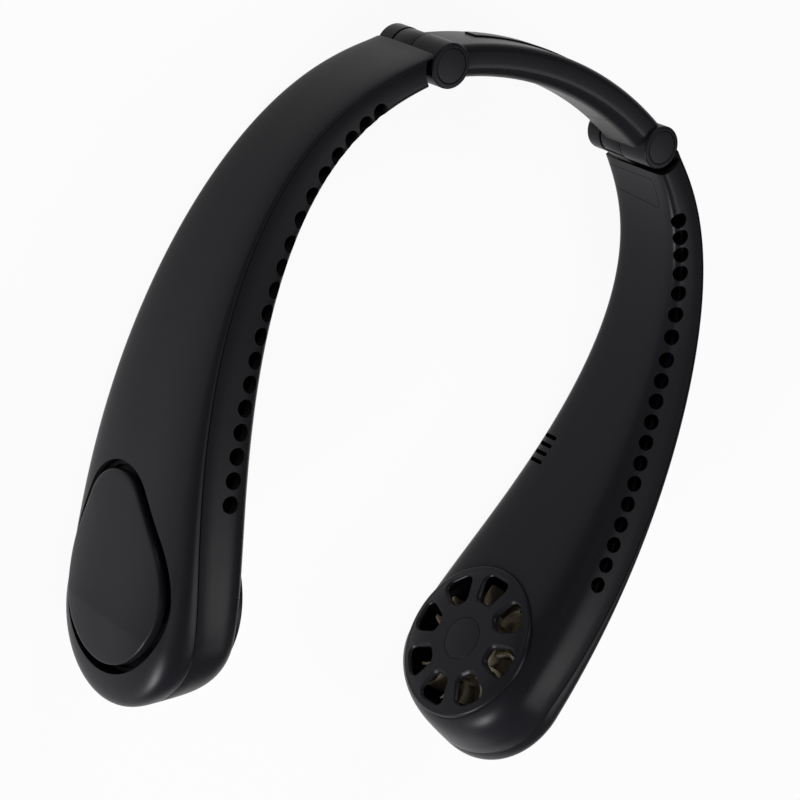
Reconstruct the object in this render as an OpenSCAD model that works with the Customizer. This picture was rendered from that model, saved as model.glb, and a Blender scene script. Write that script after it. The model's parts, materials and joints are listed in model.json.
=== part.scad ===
// Foldable neck fan: two blower arms hinged to a neck band.
// The U of the band and arms is drawn flat, symmetric about X = 0 and about its own middle plane,
// with the hinge axes on Y = 0, the band towards +Y and the fan pods towards -Y.
// Each sub-part is then laid down as it rests on a table: on the pods and on the hinge barrels.

/* [Band] */
// Distance between the two hinge axes
hinge_span = 88.2; // [80:1:96]
// Radius of the band's middle line
band_r = 109; // [100:1:130]
// Thickness of the band from inner to outer face
band_t = 10; // [8.5:0.5:11]
// Top face of the band above the arms' middle plane
band_top = 12.4; // [11:0.1:12.6]
// Lower face of the band below the arms' middle plane
band_low = 8; // [7.9:0.1:9]
// Wall of the band's two shells
band_wall = 1.5; // [1.2:0.1:1.8]

/* [Hinge] */
// Radius of the hinge barrel
barrel_r = 6.6; // [6.2:0.1:7]
// Height of the whole hinge barrel
barrel_h = 27.2; // [26.6:0.2:28]
// Height of the arm's tongue in the barrel
tongue_h = 8.4; // [7:0.2:9]
// Middle of the tongue above the arms' middle plane
tongue_z = -3; // [-3.4:0.1:-2]
// Gap between the tongue and each knuckle
knuckle_gap = 0.6; // [0.5:0.05:0.8]
// Radius of the hinge pin
pin_r = 2; // [1.6:0.1:2.2]
// Radius of the cap disc in the barrel's end
cap_r = 5; // [4.4:0.1:5.2]
// Thickness of the cap disc
cap_t = 1.4; // [1:0.1:1.6]

/* [Arm] */
// How far the arm's middle line swings out past the hinge
arm_spread = 45.6; // [42:0.5:50]
// Reach of the arm's middle line in front of the hinges
arm_reach = 172; // [160:1:185]
// Thickness of the arm at the hinge
root_t = 9.5; // [9:0.1:10.5]
// Height of the arm at the hinge
root_h = 27.8; // [27.4:0.2:29]
// Thickness of the pod
pod_t = 27.4; // [26.5:0.2:30]
// Height of the pod
pod_h = 59.6; // [58.6:0.2:64]
// Length of the pod's round end
nose_len = 24; // [22:0.5:27]
// Wall of the arm's shells
wall = 1.6; // [1.3:0.1:1.8]

/* [Air outlets] */
// Number of air outlets in each arm
outlet_count = 19; // [10:1:20]
// Radius of an air outlet
outlet_r = 2.5; // [1.6:0.1:2.7]
// Place of the first outlet along the arm
outlet_from = 17.9; // [16:0.5:22]
// Distance from the last outlet to the fan axis, along the arm
outlet_back = 35.6; // [34:0.5:50]
// Tilt of the outlets from level
outlet_tilt = 58; // [45:1:70]
// Number of vent slots in the right arm
slot_count = 4; // [1:1:5]
// Distance between the vent slots
slot_pitch = 3.05; // [2.6:0.05:3.6]
// Width of a vent slot
slot_w = 1.3; // [0.8:0.1:1.6]

/* [Pod] */
// Width left between the round grille and the edge of the pod
grille_rim = 4.8; // [4.4:0.1:6]
// Thickness of the grille plate
grille_t = 1.8; // [1.4:0.1:2.2]
// Radius of the plain disc in the middle of the grille
badge_r = 6.8; // [5:0.1:8]
// Width left between the intake opening and the edge of the pod
intake_rim = 3.7; // [3.4:0.1:6]
// Distance from the middle of the intake opening to its narrow end
intake_reach = 34; // [31:0.5:37]
// Distance from the fan axis to the middle of the intake opening
intake_shift = 4.5; // [2:0.5:6]
// Gap between the teardrop cover and the edge of the opening
cover_gap = 2.6; // [2.4:0.1:4]
// Thickness of the teardrop cover
cover_t = 2.2; // [1.6:0.1:2.6]
// Height of the teardrop cover above the arm's outer face
cover_rise = 1; // [0.2:0.1:1.4]

/* [Fan] */
// Width left between the fan wheel and the edge of the grille
wheel_rim = 4.5; // [4:0.1:7]
// Number of fan blades
blade_count = 15; // [9:1:17]
// Thickness of a fan blade
blade_t = 0.8; // [0.6:0.1:1]
// Radius of the motor shaft
shaft_r = 1; // [0.8:0.1:1.2]

/* [Battery and controls] */
// Length of the battery along the arm
cell_len = 36; // [30:1:40]
// Height of the battery
cell_h = 24; // [18:1:27]
// Thickness of the battery
cell_t = 5.5; // [4.5:0.1:5.8]
// Radius of the power button
button_r = 4.5; // [3.6:0.1:5]
// Travel of the power button
button_travel = 0.6; // [0.4:0.05:0.8]

/* [Hidden] */
$fn = 64;

// How far a cut runs past the faces it opens
over = 1;
// Clearance round a piece set into an opening
set_gap = 0.15;
// Radial clearance of a turning shaft or pin
run_gap = 0.05;
// Points in a rounded corner and in a long arc of an outline
corner_steps = 4;
tip_steps = 8;
drop_angle = -14;
arc_steps = 40;

function mix(a, b, t) = a + (b - a) * t;
function unit(v) = v / norm(v);
function bez(p, u) = len(p) == 1 ? p[0] : bez([for (i = [0:len(p) - 2]) mix(p[i], p[i + 1], u)], u);
function arc(c, r, a0, a1, n) = [for (i = [0:n]) c + r * [cos(mix(a0, a1, i / n)), sin(mix(a0, a1, i / n))]];
// Four-cornered outline with one corner radius on its low side and another on its high side
function slab(x0, x1, y0, y1, r0, r1) = concat(
  arc([x1 - r1, y1 - r1], r1, 0, 90, corner_steps), arc([x0 + r0, y1 - r0], r0, 90, 180, corner_steps),
  arc([x0 + r0, y0 + r0], r0, 180, 270, corner_steps), arc([x1 - r1, y0 + r1], r1, 270, 360, corner_steps));
// Egg-shaped outline round the origin, its narrow end turned a little off the -x line
function drop(r, reach, tip) = let (b = acos((r - tip) / (reach - tip))) concat(
  arc([0, 0], r, drop_angle + b - 180, drop_angle + 180 - b, arc_steps),
  arc((tip - reach) * [cos(drop_angle), sin(drop_angle)], tip,
    drop_angle + 180 - b, drop_angle + 180 + b, tip_steps));

// Middle line, thickness and half height of the arm as shares of its driving sizes
hinge_x = hinge_span / 2;
spine_shares = [[0.139, 0.031], [0.646, 0.135], [0.926, 0.2625], [1, 0.558], [0.542, 0.826], [0.418, 1]];
thick_shares = [0, 0.156, 0.832, 1.147];
high_shares = [0, 0.075, -0.189, 0.409, 1.083, 0.97];
spine_points = [for (p = spine_shares) [hinge_x + p.x * arm_spread, -p.y * arm_reach]];
spine_turns = [for (i = [1:len(spine_points) - 1]) spine_points[i] - spine_points[i - 1]];
thick_points = [for (p = thick_shares) mix(root_t, pod_t, p)];
high_points = [for (p = high_shares) mix(root_h, pod_h, p) / 2];
// Share of the thickness outside the middle line, and powers of the rounded section
outer_share = 0.628;
outer_power = 3.38;
root_power = 10.4;
pod_power = 4.6;
// Parting line of the shells, where the section is highest, as a share of the outer part of the thickness
part_root_share = 0.819;
part_pod_share = 0.393;
// Share by which the round end leans forward towards its outer face
lean_share = 0.26;

// Lengths along the middle line
line_steps = 80;
line_points = [for (i = [0:line_steps]) bez(spine_points, i / line_steps)];
line_pieces = [for (i = [1:line_steps]) norm(line_points[i] - line_points[i - 1])];
function sum_to(v, n) = n < 1 ? 0 : v[n - 1] + sum_to(v, n - 1);
line_table = [for (i = [0:line_steps]) [sum_to(line_pieces, i), i / line_steps]];
arm_len = line_table[line_steps][0];
function u_at(s) = lookup(s, line_table);
function along(s) = unit(bez(spine_turns, u_at(s)));
function across(s) = [-along(s).y, along(s).x];
function spine(s) = bez(spine_points, u_at(s)) + along(s) * (min(s, 0) + max(s - arm_len, 0));
function thick(s) = bez(thick_points, u_at(s));
function outer_n(s) = outer_share * thick(s);
function inner_n(s) = (1 - outer_share) * thick(s);
function high(s) = bez(high_points, u_at(s));
function inner_power(s) = mix(pod_power, root_power, pow(1 - u_at(s), 2));
function part_n(s) = mix(part_root_share, part_pod_share, pow(min(max(s / arm_len, 0), 1), 3)) * outer_n(s);
// Half height of the section at a level across the arm
function side_z(s, n, inset) = let (m = n - part_n(s), p = m > 0 ? outer_power : inner_power(s),
    span = (m > 0 ? outer_n(s) - part_n(s) : inner_n(s) + part_n(s)) - inset)
  (high(s) - inset) * pow(max(1 - pow(abs(m) / span, p), 0), 1 / p);

// Point of the arm's skin: row [s, w] where w turns from 0 at the top over the round end to 180 below
function skin(row, phi, inset) = let (
    s = row[0], w = row[1], p = 2 / (phi <= 90 ? outer_power : inner_power(s)),
    n = part_n(s) + (phi <= 90 ? (outer_n(s) - inset - part_n(s)) * pow(max(cos(phi), 0), p)
      : (inset - inner_n(s) - part_n(s)) * pow(max(-cos(phi), 0), p)),
    rho = phi == 0 || phi == 180 ? 0 : pow(sin(phi), p),
    xy = spine(s) + across(s) * n + along(s) * rho * (nose_len - inset + lean_share * n) * sin(w))
  [xy.x, xy.y, rho * (high(s) - inset) * cos(w)];
// Angle at which the inner skin lies a gap inside the parting line
function part_phi(s, inset, gap) =
  180 - acos(pow(gap / (inner_n(s) - inset + part_n(s)), inner_power(s) / 2));

// Rows of the skin from the hinge over the round end and back
body_row_count = 20;
nose_row_count = 11;
function rows(s0) = concat(
  [for (i = [0:body_row_count - 1]) [mix(s0, arm_len, i / (body_row_count - 1)), 0]],
  [for (i = [1:nose_row_count]) [arm_len, 180 * i / (nose_row_count + 1)]],
  [for (i = [body_row_count - 1:-1:0]) [mix(s0, arm_len, i / (body_row_count - 1)), 180]]);
function tri(a, b, c) = a == b || b == c || a == c ? [] : [[a, b, c]];
function quad(a, b, c, d) = concat(tri(a, b, c), tri(a, c, d));
function back(faces, turn) = turn ? [for (f = faces) [f[2], f[1], f[0]]] : faces;

// Shell following the arm's skin from s0 to the round end, between two insets.
// Its edge lies on the parting line, its last column on the middle of the outer or the inner face.
module skin_sheet(s0, inner, inset0, inset1, gap) {
  cols = inner ? 11 : 8;
  list = rows(s0);
  n_rows = len(list);
  end_phi = inner ? 180 : 0;
  bend = inner ? 1 : 1.6;
  grid = [for (inset = [inset0, inset1]) for (row = list) for (j = [0:cols])
    skin(row, mix(end_phi, part_phi(row[0], inset, gap), pow(1 - j / cols, bend)), inset)];
  row_of = [for (r = [0:n_rows - 1]) r < body_row_count ? r
    : r < body_row_count + nose_row_count ? body_row_count - 1 : n_rows - 1 - r];
  function id(layer, r, j) = (layer * n_rows + (j == cols ? row_of[r] : r)) * (cols + 1) + j;
  skins = [for (r = [0:n_rows - 2]) for (j = [0:cols - 1]) each concat(
    quad(id(0, r, j), id(0, r, j + 1), id(0, r + 1, j + 1), id(0, r + 1, j)),
    quad(id(1, r + 1, j), id(1, r + 1, j + 1), id(1, r, j + 1), id(1, r, j)))];
  edge = [for (r = [0:n_rows - 2]) each quad(id(0, r, 0), id(0, r + 1, 0), id(1, r + 1, 0), id(1, r, 0))];
  ends = [for (j = [0:cols - 1]) each concat(
    quad(id(0, 0, j + 1), id(0, 0, j), id(1, 0, j), id(1, 0, j + 1)),
    quad(id(0, n_rows - 1, j), id(0, n_rows - 1, j + 1), id(1, n_rows - 1, j + 1), id(1, n_rows - 1, j)))];
  polyhedron(grid, back(concat(skins, edge, ends), inner), convexity = 8);
}

// Tilt and lift of the rest pose: the pods and the lower rims of the hinge barrels share the table
low_from = 100;
low_step = 3;
low_points = [for (s = [low_from:low_step:arm_len]) for (phi = [60:15:120])
  let (p = skin([s, 180], phi, 0)) [p.y, p.z]];
rim_point = [barrel_r, -barrel_h / 2];
function drop_by(p, tilt) = p.y * cos(tilt) - p.x * sin(tilt);
function lowest(tilt) = min([for (p = low_points) drop_by(p, tilt)]);
function tilt_in(a, b, n) = let (m = (a + b) / 2) n == 0 ? m
  : lowest(m) < drop_by(rim_point, m) ? tilt_in(m, b, n - 1) : tilt_in(a, m, n - 1);
rest_tilt = tilt_in(0, 15, 16);
rest_lift = -drop_by(rim_point, rest_tilt);
nose_ys = [for (w = [60:5:120]) for (phi = [30:15:150]) let (p = skin([arm_len, w], phi, 0))
  p.y * cos(rest_tilt) + p.z * sin(rest_tilt)];
band_y = -sqrt(pow(band_r, 2) - pow(hinge_x, 2));
band_out_r = 2.2;
band_in_r = 4.5;
back_y = (band_y + band_r + band_t / 2 - band_out_r) * cos(rest_tilt)
  + (band_top - band_out_r) * sin(rest_tilt) + band_out_r;
rest_y = -(back_y + min(nose_ys)) / 2;

// Colours of the materials
black = [0.09, 0.09, 0.1];
satin = [0.13, 0.13, 0.14];
cream = [0.86, 0.83, 0.74];
steel = [0.72, 0.73, 0.75];
brass = [0.78, 0.62, 0.3];
copper = [0.72, 0.4, 0.22];
blue = [0.12, 0.25, 0.5];
green = [0.08, 0.3, 0.18];
smoke = [0.85, 0.88, 0.9];

// Levels of the hinge
tongue_top = tongue_z + tongue_h / 2;
tongue_foot = tongue_z - tongue_h / 2;
barrel_top = barrel_h / 2;
swing_gap = 0.6;
mouth_gap = 0.9;
mouth_deep = 2.3;
root_ahead = norm(spine_points[0] - [hinge_x, 0]);
washer_t = 0.5;
tongue_inset = 0.2;
block_from = 3;
block_to = 15;
block_low = -0.6;
block_out = 4;
block_half = 9.5;
screw_r = 0.8;
head_r = 1.5;
head_t = 0.8;
hinge_screw_s = 7.5;
hinge_screw_z = 6;
boss_r = 2.1;

// Levels of the pod along the fan axis, outward from the middle line
// How far the fan axis lies before the end of the middle line, as a share of the round end
fan_back_share = 0.23;
fan_s = arm_len - nose_len * fan_back_share;
grille_rise = 1;
grille_dome = 1.8;
dome_power = 5;
back_lift = 0.8;
back_flat_r = 20.9;
dome_steps = 12;
grille_low = -inner_n(fan_s) - grille_rise;
grille_back = grille_low + grille_t;
skirt_h = 5.2;
skirt_top = grille_low + skirt_h;
skirt_t = 1.6;
tray_low = 11;
tray_t = 1.2;
rim_top = 14.2;
rim_t = 1.2;
drop_tip = 17;
grille_r = pod_h / 2 - grille_rim;
intake_r = pod_h / 2 - intake_rim;
wheel_r = grille_r - wheel_rim;
base_t = 1.2;
base_top = grille_back + base_t;
base_r = 9.5;
bearing_r = 2;
bearing_h = 6.5;
bearing_top = base_top + bearing_h;
housing_t = 0.6;
stator_foot = 0.7;
stator_h = 5.4;
stator_low = base_top + stator_foot;
stator_top = stator_low + stator_h;
yoke_foot = 1.9;
yoke_h = 6;
yoke_low = base_top + yoke_foot;
yoke_top = yoke_low + yoke_h;
yoke_r = 9.2;
yoke_t = 0.8;
hub_t = 1;
blade_low = yoke_low;
blade_gap = 1.5;
blade_top = tray_low - blade_gap;
blade_in_r = 12;
scroll_rim = 2;
scroll_r = grille_r - scroll_rim;
scroll_t = 1.2;
post_x = -28;
post_r = 3;
screw_deep = 6;

// Places of the air outlets, slots, controls and socket along the arm
slot_back = 70.1;
slot_from = fan_s - slot_back;
slot_long = 7;
button_back = 60.4;
button_s = fan_s - button_back;
board_long = 26;
board_wide = 14;
board_t = 1.2;
board_deep = 6.4;
flange_r = 5.4;
flange_t = 0.45;
button_deep = 2.4;
lens_x = 7.6;
lens_r = 1.1;
board_post_x = 11;
board_post_r = 1.4;
cell_gap = 1;
cell_s = button_s - board_long / 2 - cell_gap - cell_len / 2;
duct_gap = 0.3;
duct_t = 1;
duct_from = 22;
duct_back = 31.4;
duct_to = fan_s - duct_back;
socket_back = 22.4;
socket_s = fan_s - socket_back;
socket_n = 1.5;
socket_w = 9;
socket_t = 3.2;
socket_long = 7.3;
socket_wall = 0.35;
socket_round_share = 0.9;
holder_half = 6.1;
holder_deep = 5.5;

// Wraps that place the children
module rest() translate([0, rest_y, rest_lift]) rotate([-rest_tilt, 0, 0]) children();
module sided(side) {
  if (side > 0) rest() children();
  else rest() mirror([1, 0, 0]) children();
}
module at_hinge() translate([hinge_x, 0, 0]) children();
module on_arm(s) translate([spine(s).x, spine(s).y, 0])
  rotate([0, 0, atan2(along(s).y, along(s).x)]) children();
module at_pod() on_arm(fan_s) rotate([-90, 0, 0]) children();
// On the outer face at s, with z along its normal
module on_face(s) {
  step = thick(s) / 10;
  p = spine(s) + across(s) * outer_n(s);
  run = spine(s + step) + across(s + step) * outer_n(s + step)
    - spine(s - step) - across(s - step) * outer_n(s - step);
  translate([p.x, p.y, 0]) rotate([0, 0, atan2(run.y, run.x)]) rotate([-90, 0, 0]) children();
}
module rod(z0, z1, r) translate([0, 0, z0]) cylinder(h = z1 - z0, r = r);
module tube(z0, z1, r, bore) difference() {
  rod(z0, z1, r);
  rod(z0 - over, z1 + over, bore);
}
module block(lo, hi) translate(lo) cube(hi - lo);

// Neck band
module band_arc(half, outline) translate([0, band_y, 0]) rotate([0, 0, 90 - half])
  rotate_extrude(angle = 2 * half) polygon(outline);
band_angle = asin(hinge_x / band_r);
// The hollow's outer corners lose at most this share of their radius
inner_round_share = 0.8;
function band_slab(inset, low, high) = slab(band_r - band_t / 2 + inset, band_r + band_t / 2 - inset,
  low, high, band_in_r - inset, band_out_r - min(inset, band_out_r * inner_round_share));
module band_solid() band_arc(band_angle, band_slab(0, -band_low, band_top));
module band_hollow(half) band_arc(half, band_slab(band_wall, band_wall - band_low, band_top - band_wall));
// Radius of the joint between the band's two shells, within the rounding of its inner edges
split_share = 0.7;
split_r = band_r - band_t / 2 + band_in_r * split_share;
cover_angle = 14.2;
cover_lean = 15.4;
hollow_angle = 18;
module inside_split(gap) translate([0, band_y, 0]) rod(-barrel_h, barrel_h, split_r - gap);
// Everything of the band beyond the slanting joint towards the right hinge
module beyond_joint(gap) translate([0, band_y, 0]) rotate([0, 0, -cover_angle]) rotate([0, -cover_lean, 0])
  block([gap, 0, -barrel_h], [band_r, 2 * band_r, barrel_h]);
module knuckles() {
  rod(tongue_top + knuckle_gap, barrel_top, barrel_r);
  rod(-barrel_top, tongue_foot - knuckle_gap, barrel_r);
}
// Rib that carries the lower knuckle under the band
gusset_long = 11;
gusset_half = 3.2;
gusset_rise = 1.2;
module gusset() rotate([0, 0, 180 - band_angle]) rotate([90, 0, 0]) translate([0, 0, -gusset_half])
  linear_extrude(2 * gusset_half) polygon([
    [0, gusset_rise - barrel_top], [barrel_r, gusset_rise - barrel_top],
    [gusset_long, band_wall / 2 - band_low], [0, band_wall / 2 - band_low]]);

module band_outer_shell() color(satin) rest() difference() {
  union() {
    difference() {
      band_solid();
      inside_split(0);
    }
    for (side = [0, 1]) mirror([side, 0, 0]) {
      at_hinge() knuckles();
      difference() {
        at_hinge() gusset();
        translate([0, band_y, 0]) rod(-band_low - set_gap, band_low, split_r);
      }
    }
  }
  band_hollow(hollow_angle);
  for (side = [0, 1]) mirror([side, 0, 0]) at_hinge() {
    rod(tongue_foot - knuckle_gap, tongue_top + knuckle_gap, barrel_r + swing_gap);
    rod(-barrel_h, barrel_h, pin_r);
    rod(barrel_top - cap_t, barrel_top + over, cap_r);
    rod(-barrel_top - over, cap_t - barrel_top, cap_r);
  }
}
module band_inner_shell() color(satin) rest() difference() {
  intersection() {
    band_solid();
    inside_split(set_gap);
  }
  band_hollow(hollow_angle);
  beyond_joint(-set_gap);
  mirror([1, 0, 0]) beyond_joint(-set_gap);
}
module band_end_cover(side) color(satin) sided(side) difference() {
  intersection() {
    band_solid();
    inside_split(set_gap);
    beyond_joint(0);
  }
  band_hollow(hollow_angle);
  at_hinge() rod(-barrel_h, barrel_h, barrel_r + swing_gap);
}
// Thin raised strip on the outer face
strip_angle = 15;
strip_h = 5;
strip_z = -1;
strip_t = 0.5;
module band_trim() color(black) rest() band_arc(strip_angle, slab(
  band_r + band_t / 2, band_r + band_t / 2 + strip_t,
  strip_z - strip_h / 2, strip_z + strip_h / 2, strip_t / 4, strip_t / 2));
// Flat bundle of leads inside the band
loom_t = 1.6;
loom_h = 5;
loom_angle = 17;
loom_r = band_r + band_t / 2 - band_wall - loom_t;
module band_loom() color(copper) rest() band_arc(loom_angle, slab(loom_r, loom_r + loom_t,
  -loom_h / 2, loom_h / 2, loom_t / 3, loom_t / 3));

// Hinge
module hinge_pin(side) color(steel) sided(side) at_hinge() rod(cap_t - barrel_top, barrel_top - cap_t, pin_r);
module top_cap(side) color(black) sided(side) at_hinge() rod(barrel_top - cap_t, barrel_top, cap_r);
module bottom_cap(side) color(black) sided(side) at_hinge() rod(-barrel_top, cap_t - barrel_top, cap_r);
module hinge_washers(side) color(steel) sided(side) at_hinge() {
  tube(tongue_top + knuckle_gap - washer_t, tongue_top + knuckle_gap, cap_r, pin_r + run_gap);
  tube(tongue_foot - knuckle_gap, tongue_foot - knuckle_gap + washer_t, cap_r, pin_r + run_gap);
}
module hinge_screw_places() for (z = [-1, 1]) on_arm(block_from)
  translate([hinge_screw_s - block_from, 0, z * hinge_screw_z]) rotate([-90, 0, 0]) children();
module hinge_tongue(side) color(satin) sided(side) difference() {
  union() {
    at_hinge() rod(tongue_foot, tongue_top, barrel_r - tongue_inset);
    on_arm(block_from) {
      block([0, block_low, -block_half], [block_to - block_from, block_out, block_half]);
      block([-root_ahead - block_from, block_low, tongue_foot], [over, block_out, tongue_top]);
    }
  }
  at_hinge() rod(-barrel_h, barrel_h, pin_r + run_gap);
  hinge_screw_places() {
    rod(block_low - over, block_out + over, screw_r);
    rod(block_low - over, block_low + head_t, head_r + set_gap);
  }
}
plate_from = 3;
plate_to = 13.4;
plate_short = 11.6;
plate_top = 8.2;
plate_foot = -12.6;
plate_out = 0.1;
module plate_outline(gap) polygon([
  [plate_from - gap, plate_foot - gap], [plate_short + gap, plate_foot - gap],
  [plate_to + gap, plate_top + gap], [plate_from - gap, plate_top + gap]]);
// Prism on the outline of the plate, between two levels across the arm
module plate_prism(n0, n1, gap) on_arm(block_from) translate([-block_from, n1, 0]) rotate([90, 0, 0])
  linear_extrude(n1 - n0) plate_outline(gap);
module hinge_cover(side) color(satin) sided(side)
  plate_prism(-inner_n(block_from) - plate_out, block_low, 0);
module arm_screws(side) color(steel) sided(side) {
  hinge_screw_places() {
    rod(block_low, block_low + head_t, head_r);
    rod(block_low, outer_n(hinge_screw_s) - wall / 2, screw_r);
  }
  post_place() {
    rod(tray_low + tray_t, tray_low + tray_t + head_t, head_r);
    rod(tray_low - screw_deep, tray_low + tray_t, screw_r);
  }
}
module post_place() at_pod() translate([post_x, 0, 0]) children();

// Arm shells
// The outlets crowd a little at their middle, by this share of their row, and sink along the arm
outlet_bunch_share = 0.017;
outlet_bunch_turn = 450;
// Level of the outlets between the parting line and the inner face, at the root and at the pod
outlet_root_share = 0.772;
outlet_pod_share = 0.496;
outlet_turn_share = 0.48;
outlet_to = fan_s - outlet_back;
function outlet_n(s, t) = let (
    q = mix(outlet_root_share, outlet_pod_share, max(t - outlet_turn_share, 0) / (1 - outlet_turn_share)))
  part_n(s) - (inner_n(s) + part_n(s)) * q;
outlet_deep = 4;
outlet_run = 3;
slot_share = 0.97;
slot_lean = 105;
button_gap = 0.3;
lens_gap = 0.1;
outer_from = -3.5;
inner_from = -1;
seam = 0.15;
grille_gap = 0.15;
module outlet_places() for (i = [0:outlet_count - 1]) let (
    t = i / (outlet_count - 1), bunch = outlet_bunch_share * sin(min(t * outlet_bunch_turn, 180)),
    s = mix(outlet_from, outlet_to, t - bunch), n = outlet_n(s, t))
  on_arm(s) translate([0, n, side_z(s, n, 0)])
    rotate([90 - outlet_tilt, 0, 0]) children();
module slot_places() for (i = [0:slot_count - 1]) let (s = slot_from + i * slot_pitch,
    n = mix(part_n(s), -inner_n(s), slot_share))
  on_arm(s) translate([0, n, -side_z(s, n, 0)])
    rotate([slot_lean, 0, 0]) children();
module at_socket() on_arm(socket_s) translate([0, socket_n, -high(socket_s)]) children();
module bar(z0, z1, outline) translate([0, 0, z0]) linear_extrude(z1 - z0) polygon(outline);
function stadium(w, t, gap) = slab(-w / 2 - gap, w / 2 + gap, -t / 2 - gap, t / 2 + gap,
  (t / 2 + gap) * socket_round_share, (t / 2 + gap) * socket_round_share);
function opening_outline(gap) =
  [for (p = drop(intake_r - gap, intake_reach - gap, drop_tip - gap)) p - [intake_shift, 0]];
module opening(gap, z0, z1) bar(z0, z1, opening_outline(gap));

module arm_outer_shell(side) color(satin) sided(side) difference() {
  union() {
    skin_sheet(outer_from, false, 0, wall, 0);
    hinge_screw_places() rod(block_out, outer_n(hinge_screw_s) - wall / 2, boss_r);
    if (side > 0) on_face(button_s) for (x = [-1, 1])
      translate([x * board_post_x, 0, 0]) rod(board_t - board_deep, -wall / 2, board_post_r);
  }
  at_hinge() rod(-barrel_h, barrel_h, barrel_r + mouth_gap);
  at_pod() opening(0, skirt_top, thick(fan_s));
  hinge_screw_places() rod(block_low, outer_n(hinge_screw_s) - wall / 2, screw_r);
  if (side > 0) on_face(button_s) {
    rod(-wall * 2, over, button_r + button_gap);
    translate([lens_x, 0, 0]) rod(-wall * 2, over, lens_r + lens_gap);
  }
}
module arm_inner_shell(side) color(satin) sided(side) difference() {
  union() {
    skin_sheet(inner_from, true, 0, wall, seam);
    post_place() rod(wall / 2 - inner_n(fan_s + post_x), tray_low, post_r);
    if (side > 0) at_socket()
      block([-holder_half, -socket_t, wall / 2], [holder_half, socket_t, holder_deep]);
  }
  at_hinge() rod(-barrel_h, barrel_h, barrel_r + mouth_deep);
  outlet_places() rod(-outlet_deep, outlet_run, outlet_r);
  at_pod() rod(grille_low - over, skirt_top, grille_r + grille_gap);
  plate_prism(-inner_n(block_from) - over, block_low, set_gap);
  post_place() rod(tray_low - screw_deep, tray_low + over, screw_r);
  if (side > 0) {
    slot_places() block([-slot_w / 2, -slot_long / 2, -outlet_deep], [slot_w / 2, slot_long / 2, outlet_run]);
    at_socket() bar(-over, socket_long + over, stadium(socket_w, socket_t, run_gap));
  }
}

// Pod: teardrop cover over a tray, round grille, fan and its housing
cover_post_r = 1.5;
// Places of the cover's posts as shares of the grille's radius
cover_post_shares = [[0, 0.77], [0, -0.77], [-0.87, 0], [0.7, 0]];
cover_ring_count = 4;
// Height of the outer face over the pod's plane, at a point measured from the fan axis
function face_n(x, y, inset) = let (
    s = min(fan_s + x, arm_len),
    q = (fan_s + x - s) / (nose_len - inset + lean_share * outer_n(s)), z = y / (high(s) - inset))
  (spine(s) - spine(fan_s)) * across(fan_s) + part_n(s)
    + (outer_n(s) - inset - part_n(s)) * pow(1 - pow(norm([q, z]), outer_power), 1 / outer_power);
module intake_cover(side) color(satin) sided(side) at_pod() {
  edge = opening_outline(cover_gap);
  n = len(edge);
  points = [for (inset = [-cover_rise, cover_t - cover_rise]) each concat([[0, 0, face_n(0, 0, inset)]],
    [for (k = [1:cover_ring_count]) for (p = edge * k / cover_ring_count)
      [p.x, p.y, face_n(p.x, p.y, inset)]])];
  under = 1 + cover_ring_count * n;
  fans = [for (i = [0:n - 1]) let (j = (i + 1) % n)
    each [[0, 1 + j, 1 + i], [under, under + 1 + i, under + 1 + j]]];
  bands = [for (k = [1:cover_ring_count - 1]) for (i = [0:n - 1]) let (
      a = 1 + (k - 1) * n + i, b = 1 + (k - 1) * n + (i + 1) % n)
    each concat(quad(a, b, b + n, a + n), quad(under + a + n, under + b + n, under + b, under + a))];
  last = 1 + (cover_ring_count - 1) * n;
  walls = [for (i = [0:n - 1]) let (a = last + i, b = last + (i + 1) % n)
    each quad(a, b, under + b, under + a)];
  polyhedron(points, concat(fans, bands, walls), convexity = 6);
  for (p = cover_post_shares * grille_r) translate(p)
    rod(tray_low + tray_t, face_n(p.x, p.y, cover_t / 2 - cover_rise), cover_post_r);
}
tray_bore_rim = 8.7;
tray_bore = intake_r - tray_bore_rim;
tray_hub = 4;
spoke_w = 2;
spoke_count = 6;
module tray_holes() difference() {
  circle(tray_bore);
  circle(tray_hub);
  for (i = [0:spoke_count - 1]) rotate(i * 360 / spoke_count)
    translate([0, -spoke_w / 2]) square([tray_bore, spoke_w]);
}
module intake_frame(side) color(black) sided(side) at_pod() difference() {
  opening(set_gap, tray_low, rim_top);
  opening(set_gap + rim_t, tray_low + tray_t, rim_top + over);
  translate([0, 0, tray_low - over]) linear_extrude(tray_t + 2 * over) tray_holes();
  translate([post_x, 0, 0]) rod(tray_low - over, rim_top, screw_r + run_gap);
}
window_count = 8;
window_rim = 2.8;
window_in = 12.6;
window_out = grille_r - window_rim;
// Half widths of the bars between the windows, at their inner and outer ends
bar_in_half = 2.1;
bar_out_half = 2.6;
window_in_half = window_in * tan(180 / window_count) - bar_in_half;
window_out_half = window_out * tan(180 / window_count) - bar_out_half;
window_round = 1.5;
badge_t = 0.8;
edge_round = 1;
// Radius at which the domed face of the grille meets its rounded rim
dome_r = grille_r - edge_round;
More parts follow.
